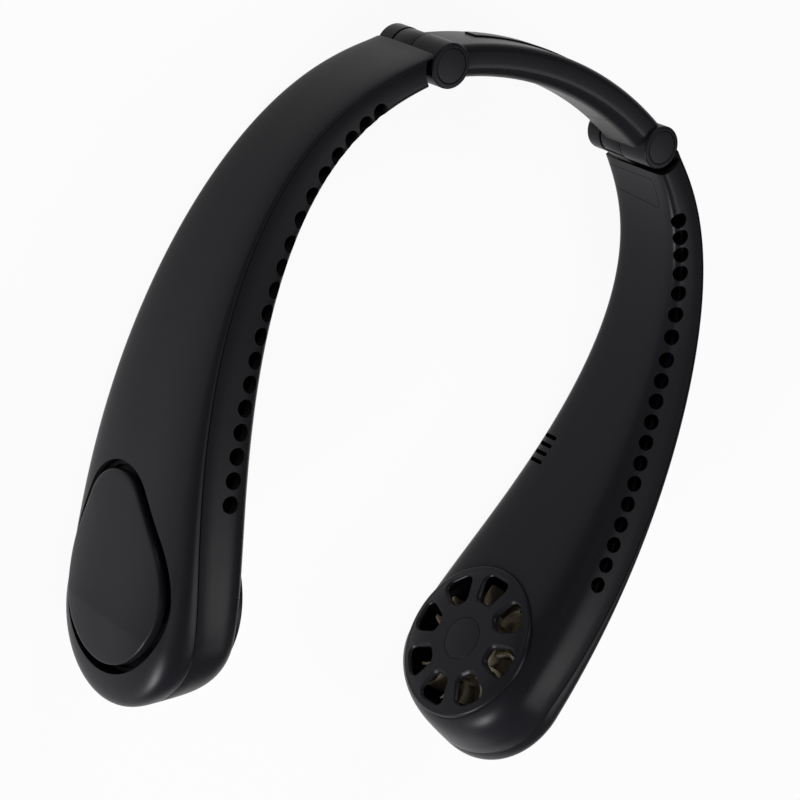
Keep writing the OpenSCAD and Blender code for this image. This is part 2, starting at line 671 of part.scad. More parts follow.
// Rounded four-sided window pointing along x, wider at its far end
function fan_window(x0, x1, h0, h1, r) = let (k = atan2(h1 - h0, x1 - x0)) concat(
  arc([x1 - r, h1 - r / cos(k)], r, 0, 90 + k, corner_steps),
  arc([x0 + r, h0 - r], r, 90 + k, 180, corner_steps),
  arc([x0 + r, r - h0], r, 180, 270 - k, corner_steps),
  arc([x1 - r, r / cos(k) - h1], r, 270 - k, 360, corner_steps));
module fan_grille(side) color(satin) sided(side) at_pod() difference() {
  rotate_extrude() polygon(concat([[0, grille_back]],
    [for (i = [0:dome_steps]) let (k = i / dome_steps)
      [k * dome_r, grille_low + grille_dome * pow(k, dome_power)]],
    arc([dome_r, grille_low + grille_dome + edge_round], edge_round, 270, 360, corner_steps),
    [[grille_r, skirt_top], [grille_r - skirt_t, skirt_top], [grille_r - skirt_t, grille_back + back_lift],
      [back_flat_r, grille_back]]));
  for (i = [0:window_count - 1]) rotate(i * 360 / window_count)
    bar(grille_low - over, grille_back + over,
      fan_window(window_in, window_out, window_in_half, window_out_half, window_round));
  rod(grille_low - over, grille_low + badge_t, badge_r + set_gap);
}
module grille_badge(side) color(black) sided(side) at_pod() rod(grille_low, grille_low + badge_t, badge_r);
scroll_gap_half = 13;
module fan_scroll(side) color(black) sided(side) at_pod() difference() {
  tube(skirt_top + set_gap, tray_low, scroll_r, scroll_r - scroll_t);
  block([-scroll_r - over, -scroll_gap_half, skirt_top - over], [0, scroll_gap_half, tray_low + over]);
}

// Motor and fan wheel
module motor_base(side) color(black) sided(side) at_pod() difference() {
  union() {
    rod(grille_back, base_top, base_r);
    rod(grille_back, bearing_top, bearing_r + housing_t);
  }
  rod(base_top, bearing_top + over, bearing_r);
}
module motor_bearing(side) color(brass) sided(side) at_pod()
  tube(base_top, bearing_top, bearing_r, shaft_r + run_gap);
tooth_count = 9;
tooth_w = 1.4;
tooth_gap = 0.7;
core_r = 4;
shoe_t = 1.2;
stator_gap = 0.4;
module motor_stator(side) color(copper) sided(side) at_pod() translate([0, 0, stator_low])
  linear_extrude(stator_top - stator_low) difference() {
    union() {
      circle(core_r);
      intersection() {
        circle(yoke_r - yoke_t - stator_gap);
        union() {
          for (i = [0:tooth_count - 1]) rotate(i * 360 / tooth_count)
            translate([0, -tooth_w / 2]) square([yoke_r, tooth_w]);
          difference() {
            circle(yoke_r);
            circle(yoke_r - yoke_t - stator_gap - shoe_t);
            for (i = [0:tooth_count - 1]) rotate((i + 0.5) * 360 / tooth_count)
              translate([0, -tooth_gap / 2]) square([yoke_r + over, tooth_gap]);
          }
        }
      }
    }
    circle(bearing_r + housing_t);
  }
module motor_shaft(side) color(steel) sided(side) at_pod() rod(base_top + set_gap, yoke_top + hub_t, shaft_r);
module rotor_yoke(side) color(steel) sided(side) at_pod() difference() {
  rod(yoke_low, yoke_top, yoke_r);
  rod(yoke_low - over, yoke_top - yoke_t, yoke_r - yoke_t);
  rod(yoke_low, yoke_top + over, shaft_r);
}
// Height of the bow of a blade, and place of its crown as a share of the wheel's radius
blade_bow = 5.5;
blade_mid_share = 0.79;
ring_t = 0.8;
module blade_shape() {
  mid = wheel_r * blade_mid_share;
  bow = norm([mid - blade_in_r, blade_bow]);
  intersection() {
    difference() {
      circle(wheel_r - ring_t);
      circle(blade_in_r);
    }
    translate([mid, blade_bow]) difference() {
      circle(bow + blade_t / 2);
      circle(bow - blade_t / 2);
    }
    translate([0, -wheel_r]) square([2 * wheel_r, wheel_r + blade_bow]);
  }
}
module impeller(side) color(cream) sided(side) at_pod() {
  difference() {
    union() {
      rod(yoke_low + ring_t, yoke_top + hub_t, yoke_r + hub_t);
      rod(yoke_top - hub_t, yoke_top, wheel_r - ring_t * 3);
    }
    rod(yoke_low - over, yoke_top, yoke_r);
    rod(yoke_low, yoke_top + hub_t + over, shaft_r);
  }
  for (i = [0:blade_count - 1]) rotate(i * 360 / blade_count)
    translate([0, 0, blade_low]) linear_extrude(blade_top - blade_low) blade_shape();
  tube(blade_top - ring_t / 2, blade_top + ring_t / 2, wheel_r, wheel_r - ring_t * 2);
}

// Battery, duct wall, board and controls
duct_row_count = 14;
function duct_n(s) = let (t = (s - outlet_from) / (outlet_to - outlet_from))
  outlet_n(s, min(max(t, 0), 1)) + outlet_r + duct_gap;
cell_n = duct_n(cell_s + cell_len / 2) + set_gap;
module battery(side) color(blue) sided(side) on_arm(cell_s) rotate([90, 0, 90])
  bar(-cell_len / 2, cell_len / 2,
    slab(cell_n, cell_n + cell_t, -cell_h / 2, cell_h / 2, cell_t / 3, cell_t / 3));
module duct_wall(side) color(black) sided(side) {
  points = [for (i = [0:duct_row_count]) let (
      s = mix(duct_from, duct_to, i / duct_row_count), h = side_z(s, duct_n(s) - duct_t, wall) - set_gap * 3)
    for (c = [[-duct_t, h], [0, h], [0, -h], [-duct_t, -h]])
      let (xy = spine(s) + across(s) * (duct_n(s) + c.x)) [xy.x, xy.y, c.y]];
  faces = [for (i = [0:duct_row_count - 1]) for (k = [0:3]) let (a = i * 4 + k, b = i * 4 + (k + 1) % 4)
    each [[a, a + 4, b + 4], [a, b + 4, b]]];
  last = duct_row_count * 4;
  polyhedron(points, concat(faces,
    [[0, 1, 2], [0, 2, 3], [last, last + 3, last + 2], [last, last + 2, last + 1]]));
}
chip_t = 0.9;
chip_half = 1.2;
module control_board() color(green) sided(1) on_face(button_s) {
  block([-board_long / 2, -board_wide / 2, -board_deep],
    [board_long / 2, board_wide / 2, board_t - board_deep]);
  for (x = [-1, 1]) translate([x * board_long / 4, -board_wide / 4, board_t - board_deep])
    block([-chip_half, -chip_half, 0], [chip_half, chip_half, chip_t]);
}
switch_half = 2.6;
module button_switch() color(steel) sided(1) on_face(button_s) {
  block([-switch_half, -switch_half, board_t - board_deep],
    [switch_half, switch_half, board_t - board_deep + chip_t]);
  rod(board_t - board_deep + chip_t, -button_deep - button_travel - run_gap, switch_half / 2);
}
button_out = 0.4;
module power_button() color(black) sided(1) on_face(button_s) {
  rod(-button_deep, button_out, button_r);
  rod(-button_deep, flange_t - button_deep, flange_r);
}
module led_lens() color(smoke) sided(1) on_face(button_s)
  translate([lens_x, 0, 0]) rod(board_t - board_deep, 0, lens_r);
tongue_w = 6;
tongue_t = 0.8;
module usb_c_socket() color(steel) sided(1) at_socket() {
  difference() {
    bar(socket_wall, socket_long + socket_wall, stadium(socket_w, socket_t, 0));
    bar(socket_wall - over, socket_long, stadium(socket_w, socket_t, -socket_wall));
  }
  block([-tongue_w / 2, -tongue_t / 2, socket_wall * 3],
    [tongue_w / 2, tongue_t / 2, socket_long + socket_wall / 2]);
}

band_outer_shell();
band_inner_shell();
band_trim();
band_end_cover(-1);  // band_end_cover_left
band_end_cover(1);  // band_end_cover_right
band_loom();
hinge_pin(-1);  // hinge_pin_left
hinge_pin(1);  // hinge_pin_right
top_cap(-1);  // top_cap_left
top_cap(1);  // top_cap_right
bottom_cap(-1);  // bottom_cap_left
bottom_cap(1);  // bottom_cap_right
hinge_washers(-1);  // hinge_washers_left
hinge_washers(1);  // hinge_washers_right
arm_outer_shell(-1);  // arm_outer_shell_left
arm_outer_shell(1);  // arm_outer_shell_right
arm_inner_shell(-1);  // arm_inner_shell_left
arm_inner_shell(1);  // arm_inner_shell_right
intake_cover(-1);  // intake_cover_left
intake_cover(1);  // intake_cover_right
intake_frame(-1);  // intake_frame_left
intake_frame(1);  // intake_frame_right
fan_grille(-1);  // fan_grille_left
fan_grille(1);  // fan_grille_right
grille_badge(-1);  // grille_badge_left
grille_badge(1);  // grille_badge_right
fan_scroll(-1);  // fan_scroll_left
fan_scroll(1);  // fan_scroll_right
motor_base(-1);  // motor_base_left
motor_base(1);  // motor_base_right
motor_stator(-1);  // motor_stator_left
motor_stator(1);  // motor_stator_right
motor_bearing(-1);  // motor_bearing_left
motor_bearing(1);  // motor_bearing_right
motor_shaft(-1);  // motor_shaft_left
motor_shaft(1);  // motor_shaft_right
rotor_yoke(-1);  // rotor_yoke_left
rotor_yoke(1);  // rotor_yoke_right
impeller(-1);  // impeller_left
impeller(1);  // impeller_right
battery(-1);  // battery_left
battery(1);  // battery_right
duct_wall(-1);  // duct_wall_left
duct_wall(1);  // duct_wall_right
hinge_tongue(-1);  // hinge_tongue_left
hinge_tongue(1);  // hinge_tongue_right
hinge_cover(-1);  // hinge_cover_left
hinge_cover(1);  // hinge_cover_right
arm_screws(-1);  // arm_screws_left
arm_screws(1);  // arm_screws_right
control_board();
button_switch();
power_button();
led_lens();
usb_c_socket();
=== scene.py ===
import bmesh
import bpy
import json
import math
import numpy as np
from mathutils import Matrix, Vector
from mathutils.bvhtree import BVHTree

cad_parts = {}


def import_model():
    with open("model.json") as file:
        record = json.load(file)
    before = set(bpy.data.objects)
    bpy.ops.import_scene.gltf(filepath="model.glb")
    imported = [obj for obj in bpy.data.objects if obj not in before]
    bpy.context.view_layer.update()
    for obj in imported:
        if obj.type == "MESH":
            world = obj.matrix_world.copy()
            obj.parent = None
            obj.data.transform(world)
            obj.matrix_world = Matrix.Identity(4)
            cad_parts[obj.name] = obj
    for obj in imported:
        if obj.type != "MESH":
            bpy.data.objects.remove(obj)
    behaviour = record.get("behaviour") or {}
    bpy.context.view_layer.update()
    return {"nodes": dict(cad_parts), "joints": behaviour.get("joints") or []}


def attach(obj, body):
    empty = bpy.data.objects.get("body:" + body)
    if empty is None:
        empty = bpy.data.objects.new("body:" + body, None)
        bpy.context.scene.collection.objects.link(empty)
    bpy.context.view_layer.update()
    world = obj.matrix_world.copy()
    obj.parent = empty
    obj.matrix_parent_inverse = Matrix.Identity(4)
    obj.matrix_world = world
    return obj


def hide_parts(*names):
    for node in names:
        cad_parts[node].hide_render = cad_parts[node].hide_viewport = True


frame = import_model()

# Pieces are worked out in mm on the U drawn flat, as in the part's source: x across, y towards the
# band, z up from the arms' middle plane, with the right hinge's pin on (HINGE_X, 0). to_row() tilts,
# lifts and scales them into the row's frame. Places on an arm are s along its spine from the hinge,
# n outwards from the spine and z. Everything is drawn for the right arm; side -1 mirrors it.

# ---------------------------------------------------------------- driving sizes, in mm
HINGE_X = 44.1
BAND_R, BAND_T, BAND_TOP, BAND_LOW = 109.0, 10.0, 12.4, -8.0
BARREL_R, BARREL_TOP = 6.6, 13.6
TONGUE_TOP, TONGUE_FOOT = 1.2, -7.2
SPREAD, REACH = 45.6, 172.0
ROOT_T, ROOT_H, POD_T, POD_H, NOSE, WALL = 9.5, 27.8, 27.4, 59.6, 24.0, 1.6

# Shares and powers of the rule that the arm's section follows along its run
SPINE_SHARES = ((0.139, 0.031), (0.646, 0.135), (0.926, 0.2625), (1, 0.558), (0.542, 0.826), (0.418, 1))
THICK_SHARES = (0, 0.156, 0.832, 1.147)
HIGH_SHARES = (0, 0.075, -0.189, 0.409, 1.083, 0.97)
OUT_SHARE = 0.628                                     # of the thickness, outside the spine
OUT_POWER, ROOT_POWER, POD_POWER = 3.38, 10.4, 4.6    # squareness outside; inside at root and pod
ROOT_PART, POD_PART, PART_BEND = 0.819, 0.393, 3      # parting line, as shares of outer_n
LEAN = 0.26                                           # the nose leans by this share of n
FAN_BACK_SHARE = 0.23                                 # of the nose, from the spine's end to the fan
BUTTON_BACK = 60.4                                    # from the fan's axis to the button's
SPINE_STEPS = 81

TUCK = 0.12      # the smooth skins lie this far inside the faceted solids
HAIR = 0.03      # the same for flat and round pieces
FAR = 30         # reach of a cutting tool past what it cuts

# Edges sharper than these, in degrees, are shaded sharp
CREASE, GRILLE_CREASE, BAND_CREASE, TONGUE_CREASE, DISC_CREASE = 35, 32, 38, 34, 30

hinge_joint = {j["name"]: j for j in frame["joints"]}["hinge_right"]
SIN, COS = hinge_joint["axis"][1:3]
REST_Y, LIFT = (1000 * v for v in hinge_joint["pos_m"][1:3])
SIDE = {1: "right", -1: "left"}


def lerp(a, b, t):
    return a + (b - a) * t


def bez(points, u):
    """Bezier curve through de Casteljau's steps, for one or many u."""
    p = [np.asarray(q, float) for q in points]
    u = np.asarray(u, float)
    if p[0].ndim:
        u = u[..., None]
    p = [q + 0 * u for q in p]
    while len(p) > 1:
        p = [a + (b - a) * u for a, b in zip(p[:-1], p[1:])]
    return p[0]


def unit(v):
    return v / np.linalg.norm(v)


# ---------------------------------------------------------------- the arm's rule
SPINE = [(HINGE_X + x * SPREAD, -y * REACH) for x, y in SPINE_SHARES]
TURNS = [(b[0] - a[0], b[1] - a[1]) for a, b in zip(SPINE[:-1], SPINE[1:])]
THICKS = [lerp(ROOT_T, POD_T, k) for k in THICK_SHARES]
HIGHS = [lerp(ROOT_H, POD_H, k) / 2 for k in HIGH_SHARES]
U_STEPS = np.linspace(0, 1, SPINE_STEPS)
S_STEPS = np.r_[0, np.cumsum(np.linalg.norm(np.diff(bez(SPINE, U_STEPS), axis=0), axis=1))]
ARM_LEN = float(S_STEPS[-1])
FAN_S = ARM_LEN - NOSE * FAN_BACK_SHARE
BUTTON_S = FAN_S - BUTTON_BACK


def u_at(s):
    return np.interp(s, S_STEPS, U_STEPS)


def along(s):
    d = bez(TURNS, u_at(s))
    return d / np.linalg.norm(d, axis=-1, keepdims=True)


def across(s):
    a = along(s)
    return np.stack([-a[..., 1], a[..., 0]], -1)


def spine(s):
    """Point of the spine at s, carried on straight past either end."""
    s = np.asarray(s, float)
    ahead = np.minimum(s, 0) + np.maximum(s - ARM_LEN, 0)
    return bez(SPINE, u_at(s)) + along(s) * ahead[..., None]


def thick(s):
    return bez(THICKS, u_at(s))


def outer_n(s):
    return OUT_SHARE * thick(s)


def inner_n(s):
    return (1 - OUT_SHARE) * thick(s)


def high(s):
    """Half of the arm's height."""
    return bez(HIGHS, u_at(s))


def inner_power(s):
    return lerp(POD_POWER, ROOT_POWER, (1 - u_at(s)) ** 2)


def part_n(s):
    """Where the parting line between the two shells runs."""
    t = np.clip(np.asarray(s, float) / ARM_LEN, 0, 1) ** PART_BEND
    return lerp(ROOT_PART, POD_PART, t) * outer_n(s)


def side_z(s, n):
    """Height of the skin over the middle plane at s and n."""
    m = n - part_n(s)
    p = OUT_POWER if m > 0 else float(inner_power(s))
    span = float(outer_n(s) - part_n(s) if m > 0 else inner_n(s) + part_n(s))
    return float(high(s)) * max(1 - abs(float(m) / span) ** p, 0) ** (1 / p)


def face_n(x, y, inset):
    """Outer face over the pod, at x along it from the fan's axis and y down it."""
    s = np.minimum(FAN_S + x, ARM_LEN)
    q, z = (FAN_S + x - s) / (NOSE - inset + LEAN * outer_n(s)), y / (high(s) - inset)
    shift_n = (spine(s) - spine(FAN_S)) @ across(FAN_S)
    rho = np.sqrt(q * q + z * z)
    k = part_n(s)
    return shift_n + k + (outer_n(s) - inset - k) * np.clip(1 - rho ** OUT_POWER, 0, 1) ** (1 / OUT_POWER)


def skin(s, w, phi, inset):
    """Points of the arm's skin: phi turns from the outer face (0) over the parting line to the inner
    face (180), and w from the upper side (0) round the nose to the lower side (180), in degrees."""
    s, w, phi, inset = np.broadcast_arrays(*[np.asarray(v, float) for v in (s, w, phi, inset)])
    outside = phi <= 90
    p = 2 / np.where(outside, OUT_POWER, inner_power(s))
    c, k = np.cos(np.radians(phi)), part_n(s)
    n = k + np.where(outside, (outer_n(s) - inset - k) * np.clip(c, 0, 1) ** p,
                     (inset - inner_n(s) - k) * np.clip(-c, 0, 1) ** p)
    at_pole = (phi < 1e-9) | (phi > 180 - 1e-9)
    rho = np.where(at_pole, 0.0, np.clip(np.sin(np.radians(phi)), 0, 1) ** p)
    ahead, up = np.sin(np.radians(w)), np.cos(np.radians(w))
    xy = (spine(s) + across(s) * n[..., None]
          + along(s) * (rho * (NOSE - inset + LEAN * n) * ahead)[..., None])
    return np.concatenate([xy, (rho * (high(s) - inset) * up)[..., None]], -1)


def part_phi(s, inset, gap):
    """Angle at which the skin lies a gap off the parting line; below 0 is on the outer side."""
    k = part_n(s)
    if gap >= 0:
        c = np.clip(gap / (inner_n(s) - inset + k), 0, 1) ** (inner_power(s) / 2)
        return 180 - np.degrees(np.arccos(c))
    return np.degrees(np.arccos(np.clip(-gap / (outer_n(s) - inset - k), 0, 1) ** (OUT_POWER / 2)))


# ---------------------------------------------------------------- frames
def mat4(x, y, z, o):
    m = np.eye(4)
    m[:3, 0], m[:3, 1], m[:3, 2], m[:3, 3] = x, y, z, o
    return m


def on_arm(s):
    """x along the arm, y outwards, z up, from the spine."""
    a, c, o = along(s), across(s), spine(s)
    return mat4((a[0], a[1], 0), (c[0], c[1], 0), (0, 0, 1), (o[0], o[1], 0))


def on_pod():
    """x along the arm, y down, z outwards on the fan's axis."""
    a, c, o = along(FAN_S), across(FAN_S), spine(FAN_S)
    return mat4((a[0], a[1], 0), (0, 0, -1), (c[0], c[1], 0), (o[0], o[1], 0))


FACE_STEP_SHARE = 0.1


def on_face(s):
    """x along the outer face, y down, z square to it."""
    h = float(thick(s)) * FACE_STEP_SHARE
    q = [spine(k) + across(k) * outer_n(k) for k in (s - h, s, s + h)]
    a = unit(q[2] - q[0])
    return mat4((a[0], a[1], 0), (0, 0, -1), (-a[1], a[0], 0), (q[1][0], q[1][1], 0))


def moved(m, v):
    return np.asarray(v, float) @ m[:3, :3].T + m[:3, 3]


def place(m, part):
    return moved(m, part[0]), part[1]


def shift(x, y, z):
    m = np.eye(4)
    m[:3, 3] = (x, y, z)
    return m


def turn(axis, deg):
    return np.array(Matrix.Rotation(math.radians(deg), 4, axis))


def to_row(v, side=1):
    v = np.asarray(v, float)
    x, y, z = v[:, 0] * side, v[:, 1], v[:, 2]
    return np.stack([x, y * COS + z * SIN + REST_Y, -y * SIN + z * COS + LIFT], -1) / 1000


HINGE = shift(HINGE_X, 0, 0)
POD = on_pod()


# ---------------------------------------------------------------- outlines and closed meshes
def arc(c, r, a0, a1, n):
    angles = [math.radians(lerp(a0, a1, i / n)) for i in range(n + 1)]
    return [(c[0] + r * math.cos(a), c[1] + r * math.sin(a)) for a in angles]


def slab(x0, x1, y0, y1, r0, r1, n=8):
    """Rectangle with corners rounded by r0 on its x0 side and r1 on its x1 side."""
    return (arc((x1 - r1, y1 - r1), r1, 0, 90, n) + arc((x0 + r0, y1 - r0), r0, 90, 180, n)
            + arc((x0 + r0, y0 + r0), r0, 180, 270, n) + arc((x1 - r1, y0 + r1), r1, 270, 360, n))


def loft(rings):
    """Closed skin over rings of equally many points; their order gives outward faces."""
    n, last = len(rings[0]), (len(rings) - 1) * len(rings[0])
    v = np.concatenate([np.asarray(r, float) for r in rings])
    f = [(k + i, k + (i + 1) % n, k + n + (i + 1) % n, k + n + i)
         for k in range(0, last, n) for i in range(n)]
    return v, f + [tuple(range(n))[::-1], tuple(range(last, last + n))]


def revolve(profile, n=96):
    """Solid of revolution about z, from a profile that starts and ends on the axis."""
    a = np.arange(n) * 2 * math.pi / n
    rims = [np.stack([r * np.cos(a), r * np.sin(a), np.full(n, z)], -1) for r, z in profile[1:-1]]
    v = np.concatenate(rims + [[(0, 0, profile[0][1]), (0, 0, profile[-1][1])]])
    last = (len(rims) - 1) * n
    f = [(k + i, k + (i + 1) % n, k + n + (i + 1) % n, k + n + i)
         for k in range(0, last, n) for i in range(n)]
    for i in range(n):
        j = (i + 1) % n
        f += [(last + n, j, i), (last + n + 1, last + i, last + j)]
    return v, f


def rod(z0, z1, r, n=64):
    return revolve([(0, z0), (r, z0), (r, z1), (0, z1)], n)


def disc(z0, z1, r, soft):
    """Flat round piece with softened rims."""
    return revolve([(0, z0)] + arc((r - soft, z0 + soft), soft, 270, 360, 4)
                   + arc((r - soft, z1 - soft), soft, 0, 90, 4) + [(0, z1)])


def prism(outline, z0, z1):
    return loft([[(x, y, z0) for x, y in outline], [(x, y, z1) for x, y in outline]])


def block(lo, hi):
    return prism([(lo[0], lo[1]), (hi[0], lo[1]), (hi[0], hi[1]), (lo[0], hi[1])], lo[2], hi[2])


def mirrored(part, side):
    v = part[0].copy()
    v[:, 0] *= side
    return v, (part[1] if side > 0 else [q[::-1] for q in part[1]])


def both(part):
    """The piece and its mirror image."""
    return [mirrored(part, s) for s in (1, -1)]


def outward(part):
    """The same closed piece with its faces turned outwards."""
    v, f = np.asarray(part[0], float), part[1]
    total = 0.0
    for q in f:
        for k in range(1, len(q) - 1):
            total += float(np.dot(v[q[0]], np.cross(v[q[k]], v[q[k + 1]])))
    return v, (f if total > 0 else [tuple(q)[::-1] for q in f])


def join(parts):
    vs, fs, n = [], [], 0
    for v, f in parts:
        vs.append(v)
        fs += [tuple(i + n for i in q) for q in f]
        n += len(v)
    return np.concatenate(vs), fs


# ---------------------------------------------------------------- objects
def make(name, verts, faces, side, mats=(), slots=None):
    """Mesh object from points in the flat drawing."""
    f = [tuple(q) if side > 0 else tuple(q)[::-1] for q in faces]
    me = bpy.data.meshes.new(name)
    me.from_pydata(to_row(verts, side).tolist(), [], f)
    for m in mats:
        me.materials.append(m)
    if slots is not None:
        me.polygons.foreach_set("material_index", np.asarray(slots, dtype=np.int32))
    me.validate()
    ob = bpy.data.objects.new(name, me)
    bpy.context.scene.collection.objects.link(ob)
    return ob


def piece(name, part, side, mats):
    """Object of one closed mesh with all its faces turned outwards."""
    ob = make(name, *part, side, mats)
    bm = bmesh.new()
    bm.from_mesh(ob.data)
    bmesh.ops.recalc_face_normals(bm, faces=bm.faces)
    bm.to_mesh(ob.data)
    bm.free()
    return ob


def combine(ob, parts, side, op, slot=1):
    """Cuts or joins closed meshes; their faces take the given material slot."""
    tool = make("tool", *join([outward(p) for p in parts]), side, ob.data.materials)
    count = len(tool.data.polygons)
    tool.data.polygons.foreach_set("material_index", np.full(count, slot, dtype=np.int32))
    mod = ob.modifiers.new("combine", "BOOLEAN")
    mod.object, mod.operation, mod.solver = tool, op, "MANIFOLD"
    dg = bpy.context.evaluated_depsgraph_get()
    old, ob_mesh = ob.data, bpy.data.meshes.new_from_object(ob.evaluated_get(dg))
    ob.modifiers.clear()
    ob.data = ob_mesh
    bpy.data.meshes.remove(old)
    bpy.data.objects.remove(tool)


def smooth(ob, angle=CREASE):
    me = ob.data
    me.polygons.foreach_set("use_smooth", [True] * len(me.polygons))
    me.set_sharp_from_angle(angle=math.radians(angle))


def bary(p, a, b, c):
    """Weights of a triangle's corners at a point on it."""
    v0, v1, v2 = b - a, c - a, p - a
    d00, d01, d11, d20, d21 = v0.dot(v0), v0.dot(v1), v1.dot(v1), v2.dot(v0), v2.dot(v1)
    den = d00 * d11 - d01 * d01
    if abs(den) < 1e-30:
        return 1.0, 0.0, 0.0
    v, w = (d11 * d20 - d01 * d21) / den, (d00 * d21 - d01 * d20) / den
    return 1 - v - w, v, w


def relight(ob, source):
    """Faces in slot 0 take the smooth normals of the uncut skin, which is then removed."""
    smooth(ob)
    me, sm = ob.data, source.data
    sm.polygons.foreach_set("use_smooth", [True] * len(sm.polygons))
    at = [v.co.copy() for v in sm.vertices]
    tris = [(q[0], q[k], q[k + 1]) for q in (p.vertices for p in sm.polygons)
            for k in range(1, len(q) - 1)]
    tree = BVHTree.FromPolygons(at, tris)
    normals = [Vector(n.vector) for n in sm.vertex_normals]
    loops = np.zeros(len(me.loops) * 3, dtype=np.float32)
    me.corner_normals.foreach_get("vector", loops)
    loops = loops.reshape(-1, 3)
    found = {}
    for p in me.polygons:
        if p.material_index != 0:
            continue
        for li in p.loop_indices:
            vi = me.loops[li].vertex_index
            if vi not in found:
                hit, _, ti, _ = tree.find_nearest(me.vertices[vi].co)
                a, b, c = tris[ti]
                w = bary(hit, at[a], at[b], at[c])
                found[vi] = (normals[a] * w[0] + normals[b] * w[1] + normals[c] * w[2]).normalized()
            loops[li] = found[vi]
    me.normals_split_custom_set(loops.tolist())
    bpy.data.objects.remove(source)


def put(ob, body, node):
    """The object rides on a body and stands for a node."""
    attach(ob, body)
    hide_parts(node)


# ---------------------------------------------------------------- materials
GRAIN_DEPTH = 0.00002               # in metres
ROUGH_SWING = 0.06                  # slow unevenness of a moulding's gloss
SLOW_SCALE, SLOW_DETAIL = 45, 4
FINE_DETAIL = 3
PALER, PALER_BY = 1.18, 0.001       # the grain's paler tone
BRUSH_STRETCH, BRUSH_SCALE, BRUSH_RELIEF, BRUSH_SWING = (1, 1, 40), 900, 0.15, 0.3


def nodes_of(name):
    m = bpy.data.materials.new(name)
    m.use_nodes = True
    return m, m.node_tree, m.node_tree.nodes["Principled BSDF"]


def noise(t, vector, scale, detail):
    n = t.nodes.new("ShaderNodeTexNoise")
    n.inputs["Scale"].default_value = scale
    n.inputs["Detail"].default_value = detail
    t.links.new(vector, n.inputs["Vector"])
    return n.outputs["Fac"]


def set_relief(t, b, height, strength):
    bump = t.nodes.new("ShaderNodeBump")
    bump.inputs["Strength"].default_value = strength
    bump.inputs["Distance"].default_value = GRAIN_DEPTH
    t.links.new(height, bump.inputs["Height"])
    t.links.new(bump.outputs["Normal"], b.inputs["Normal"])


def set_roughness(t, b, value, low, top):
    span = t.nodes.new("ShaderNodeMapRange")
    span.inputs["To Min"].default_value = low
    span.inputs["To Max"].default_value = top
    t.links.new(value, span.inputs["Value"])
    t.links.new(span.outputs["Result"], b.inputs["Roughness"])


def two_tone(t, factor, first, second):
    mix = t.nodes.new("ShaderNodeMix")
    mix.data_type = "RGBA"
    mix.inputs["A"].default_value = (*first, 1)
    mix.inputs["B"].default_value = (*second, 1)
    t.links.new(factor, mix.inputs["Factor"])
    return mix.outputs["Result"]


def plastic(name, base, rough, grain=0.25, scale=3200, sheen=0.5):
    """Moulded plastic: fine moulding grain in bump and tone, slow unevenness in the roughness."""
    m, t, b = nodes_of(name)
    co = t.nodes.new("ShaderNodeTexCoord").outputs["Object"]
    fine = noise(t, co, scale, FINE_DETAIL)
    slow = noise(t, co, SLOW_SCALE, SLOW_DETAIL)
    set_relief(t, b, fine, grain)
    set_roughness(t, b, slow, rough - ROUGH_SWING, rough + ROUGH_SWING)
    paler = [min(1, c * PALER + PALER_BY) for c in base]
    t.links.new(two_tone(t, fine, base, paler), b.inputs["Base Color"])
    b.inputs["Specular IOR Level"].default_value = sheen
    return m


def metal(name, base, rough):
    """Drawn or turned metal with fine stretched marks."""
    m, t, b = nodes_of(name)
    co = t.nodes.new("ShaderNodeTexCoord")
    stretch = t.nodes.new("ShaderNodeMapping")
    stretch.inputs["Scale"].default_value = BRUSH_STRETCH
    t.links.new(co.outputs["Object"], stretch.inputs["Vector"])
    marks = noise(t, stretch.outputs["Vector"], BRUSH_SCALE, FINE_DETAIL)
    set_roughness(t, b, marks, rough * (1 - BRUSH_SWING), rough * (1 + BRUSH_SWING))
    set_relief(t, b, marks, BRUSH_RELIEF)
    b.inputs["Metallic"].default_value = 1
    b.inputs["Base Color"].default_value = (*base, 1)
    return m


SHELL = plastic("shell_satin", (0.0085, 0.0085, 0.0108), 0.34, sheen=0.09)
DARK = plastic("inner_black", (0.004, 0.004, 0.004), 0.55, sheen=0.1)
CAP = plastic("cap_grained", (0.010, 0.010, 0.013), 0.46, grain=0.6, scale=2200, sheen=0.12)
GLOSS = plastic("gloss_black", (0.006, 0.006, 0.007), 0.18, grain=0.08, sheen=0.3)
# The blades' cream is darkened well below their own tone: painted shade of the pod's deep inside, over the
# real cream hue
SHADED_CREAM = plastic("cream_blades_painted_shade", (0.24, 0.205, 0.145), 0.45, grain=0.15, sheen=0.15)
LEAD = plastic("lead_jacket", (0.22, 0.03, 0.03), 0.45)
WRAP = plastic("cell_wrap", (0.05, 0.12, 0.3), 0.3)
BOARD = plastic("solder_mask", (0.02, 0.12, 0.06), 0.3)
STEEL = metal("steel", (0.62, 0.62, 0.63), 0.28)
BRASS = metal("bearing_brass", (0.72, 0.55, 0.27), 0.35)
COPPER = metal("winding_copper", (0.62, 0.28, 0.14), 0.35)
LENS = plastic("light_lens", (0.7, 0.72, 0.74), 0.2)
CASE = [SHELL, DARK]                # outside and cut faces of a casing


# ---------------------------------------------------------------- the arms' shells
SEAM, BEVEL = 0.15, 0.22            # gap at the parting line and rounding of the shells' rims
ON_PART = -1e-6                     # the outer shell's rim lies on the parting line itself
RIM_ANGLES = (0, 45)
OUTER_FROM, INNER_FROM = -3.5, -1.0
OUTER_COLUMNS, INNER_COLUMNS = 36, 44
OUTER_CROWD, INNER_CROWD = 1.6, 1.0     # above 1, columns gather at the rim
BODY_ROWS, NOSE_ROWS = 132, 46


